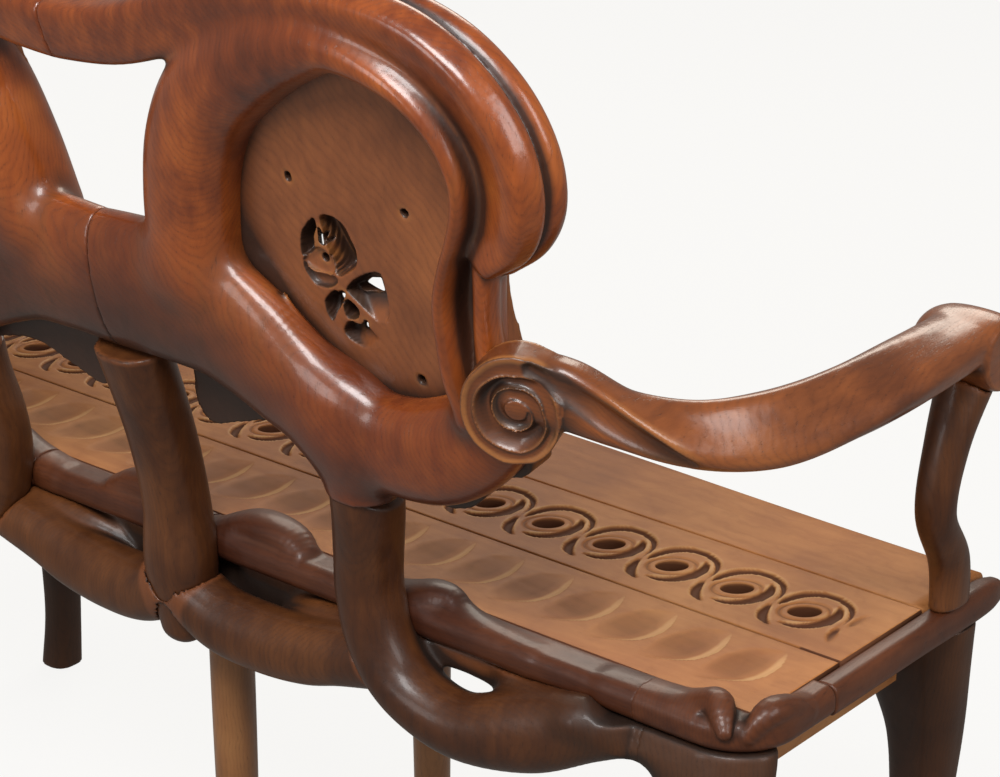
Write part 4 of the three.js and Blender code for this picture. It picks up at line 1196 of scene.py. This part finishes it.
edge_xs = np.linspace(-half_unit, half_unit, 31)
corners = [(x, middle_ys[0]) for x in edge_xs[:-1]] + [(half_unit, y) for y in middle_ys[:-1]]
corners += [(x, middle_ys[-1]) for x in edge_xs[:0:-1]] + [(-half_unit, y) for y in middle_ys[:0:-1]]
rim = np.array(corners)
bearing = np.arctan2(rim[:, 1], rim[:, 0])
off_lean = bearing - math.radians(45)
eye_reach = 1 / np.sqrt((np.cos(off_lean) / eye_long) ** 2 + (np.sin(off_lean) / eye_short) ** 2)
eye = np.stack([eye_reach * np.cos(bearing), eye_back + eye_reach * np.sin(bearing)], -1)
# Rings of points from the eye out to the unit's rim, closer together near the eye
shares = np.concatenate([np.linspace(0, 0.8, 26) ** 1.1 * 0.8 ** -0.1, [0.86, 0.93, 1.0]])
rings = eye[None] + (rim - eye)[None] * shares[:, None, None]
tops = np.concatenate([rings, scroll_height(rings[..., 0], rings[..., 1])[..., None]], -1)
rim_z = tops[0, :, 2]
eye_wall = np.stack([np.c_[eye, rim_z * (1 - k) - board_thick * k] for k in (1.0, 0.5, 0.06)])
eye_wall[2, :, :2] = eye * 0.985
floor_ring = np.c_[rim, np.full(len(rim), -board_thick)]
layers = np.concatenate([floor_ring[None], eye_wall, tops])
faces = [tuple(face[::-1]) for face in tube_quads(len(layers), len(rim))]
points = layers.reshape(-1, 3)
top_first = (len(layers) - 1) * len(rim)
# The two long edges of the unit, the front one first
for row, side in ((0, -1), (-1, 1)):
    where = [i for i, (x, y) in enumerate(corners) if abs(y - middle_ys[row]) < 1e-6]
    where.sort(key=lambda i: corners[i][0])
    strip = [[top_first + i for i in where]]
    extra = []
    for out, down in edge_round[:-1]:
        strip.append([len(points) + len(extra) + n for n in range(len(where))])
        extra += [(corners[i][0], corners[i][1] + side * out, -down) for i in where]
    strip.append(where)
    points = np.vstack([points, extra])
    for a, b in zip(strip, strip[1:]):
        for n in range(len(where) - 1):
            face = (a[n], a[n + 1], b[n + 1], b[n])
            faces.append(face if side > 0 else face[::-1])
hollow, ridge = relief_shading(points[:, 0], points[:, 1], scroll_height)
# Painted shade fills each bored eye: its wall, and everything deeper than 8 mm, is darkened fully
in_eye = np.hypot(points[:, 0], points[:, 1] - eye_back) < eye_long + 0.5
deep = np.where(points[:, 2] < -8, 1, np.clip(-points[:, 2] - 1.2, 0, 1) * in_eye)
scroll_unit = plain_mesh("scroll_unit", points, faces, {"hollow": np.maximum(hollow, deep), "ridge": ridge})
board_row(
    "seat_board_scroll", row_tree, scroll_unit, scroll_ends, 16, eye_length, board_oak, "seat_board_middle",
    (0, -168.6 + rear_edge, seat_top))

# Front board: plain, and its rounded nose bows forwards at the middle of the bench
sections = []
for x in np.linspace(-556, 556, 81):
    nose = -313.2 - 14 * math.cos(abs(x) / 556 * math.pi / 2) ** 2
    ring = [(x, -229.4 + out, -down) for out, down in edge_round]
    ring += [(x, nose + 9 * math.cos(a), -13 + 13 * math.sin(a)) for a in np.linspace(1.5, 0.5, 17) * math.pi]
    ring += [(x, y, 0) for y in np.linspace(nose, -229.4, 9)[1:]]
    sections.append(ring)
sections = np.array(sections)
count = sections.shape[1]
faces = [tuple(face) for face in tube_quads(len(sections), count)]
faces += [tuple(range(count)), tuple(range(len(sections) * count - count, len(sections) * count))[::-1]]
in_joint = (sections[..., 1] > -229) & (sections[..., 2] < -8)
front_board = plain_mesh(
    "seat_board_nosed", sections.reshape(-1, 3) + (0, rear_edge, seat_top), faces,
    {"hollow": in_joint.ravel() * 1.0, "ridge": in_joint.ravel() * 0.0})
face_outwards(front_board.data)
front_board.data.materials.append(board_oak)
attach(front_board, "root")
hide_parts("seat_board_front")


# Under the seat: plain oak aprons and battens, planed and glued under the boards, and the beech dowels of
# the joints. They stay as the CAD solids, with their wood on them.
end_board_oak = varnished_oak(
    "golden_oak_end_board", (quarter_turn, 0, 0), (0.2, 0.3, 0.1),
    ("#784722", "#8d5a2f", "#9b6839", "#a87645"), "#b98850", "#30180b",
    gloss=0.5, ring_gap=4.0, carved=False, shine=0.1)
beech = varnished_oak(
    "bare_beech_dowel", (0, 0, 0), (0.3, 0.2, 0), ("#a98254", "#b98f5e", "#c39b6a", "#cda877"),
    "#cda877", "#8a6238", gloss=0.6, ring_gap=2.0, carved=False, shine=0)
for name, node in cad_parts.items():
    wood = board_oak if name.startswith(("apron_front", "batten", "seat")) else end_board_oak
    wood = beech if "dowel" in name else wood
    node.data.materials.clear()
    node.data.materials.append(wood)
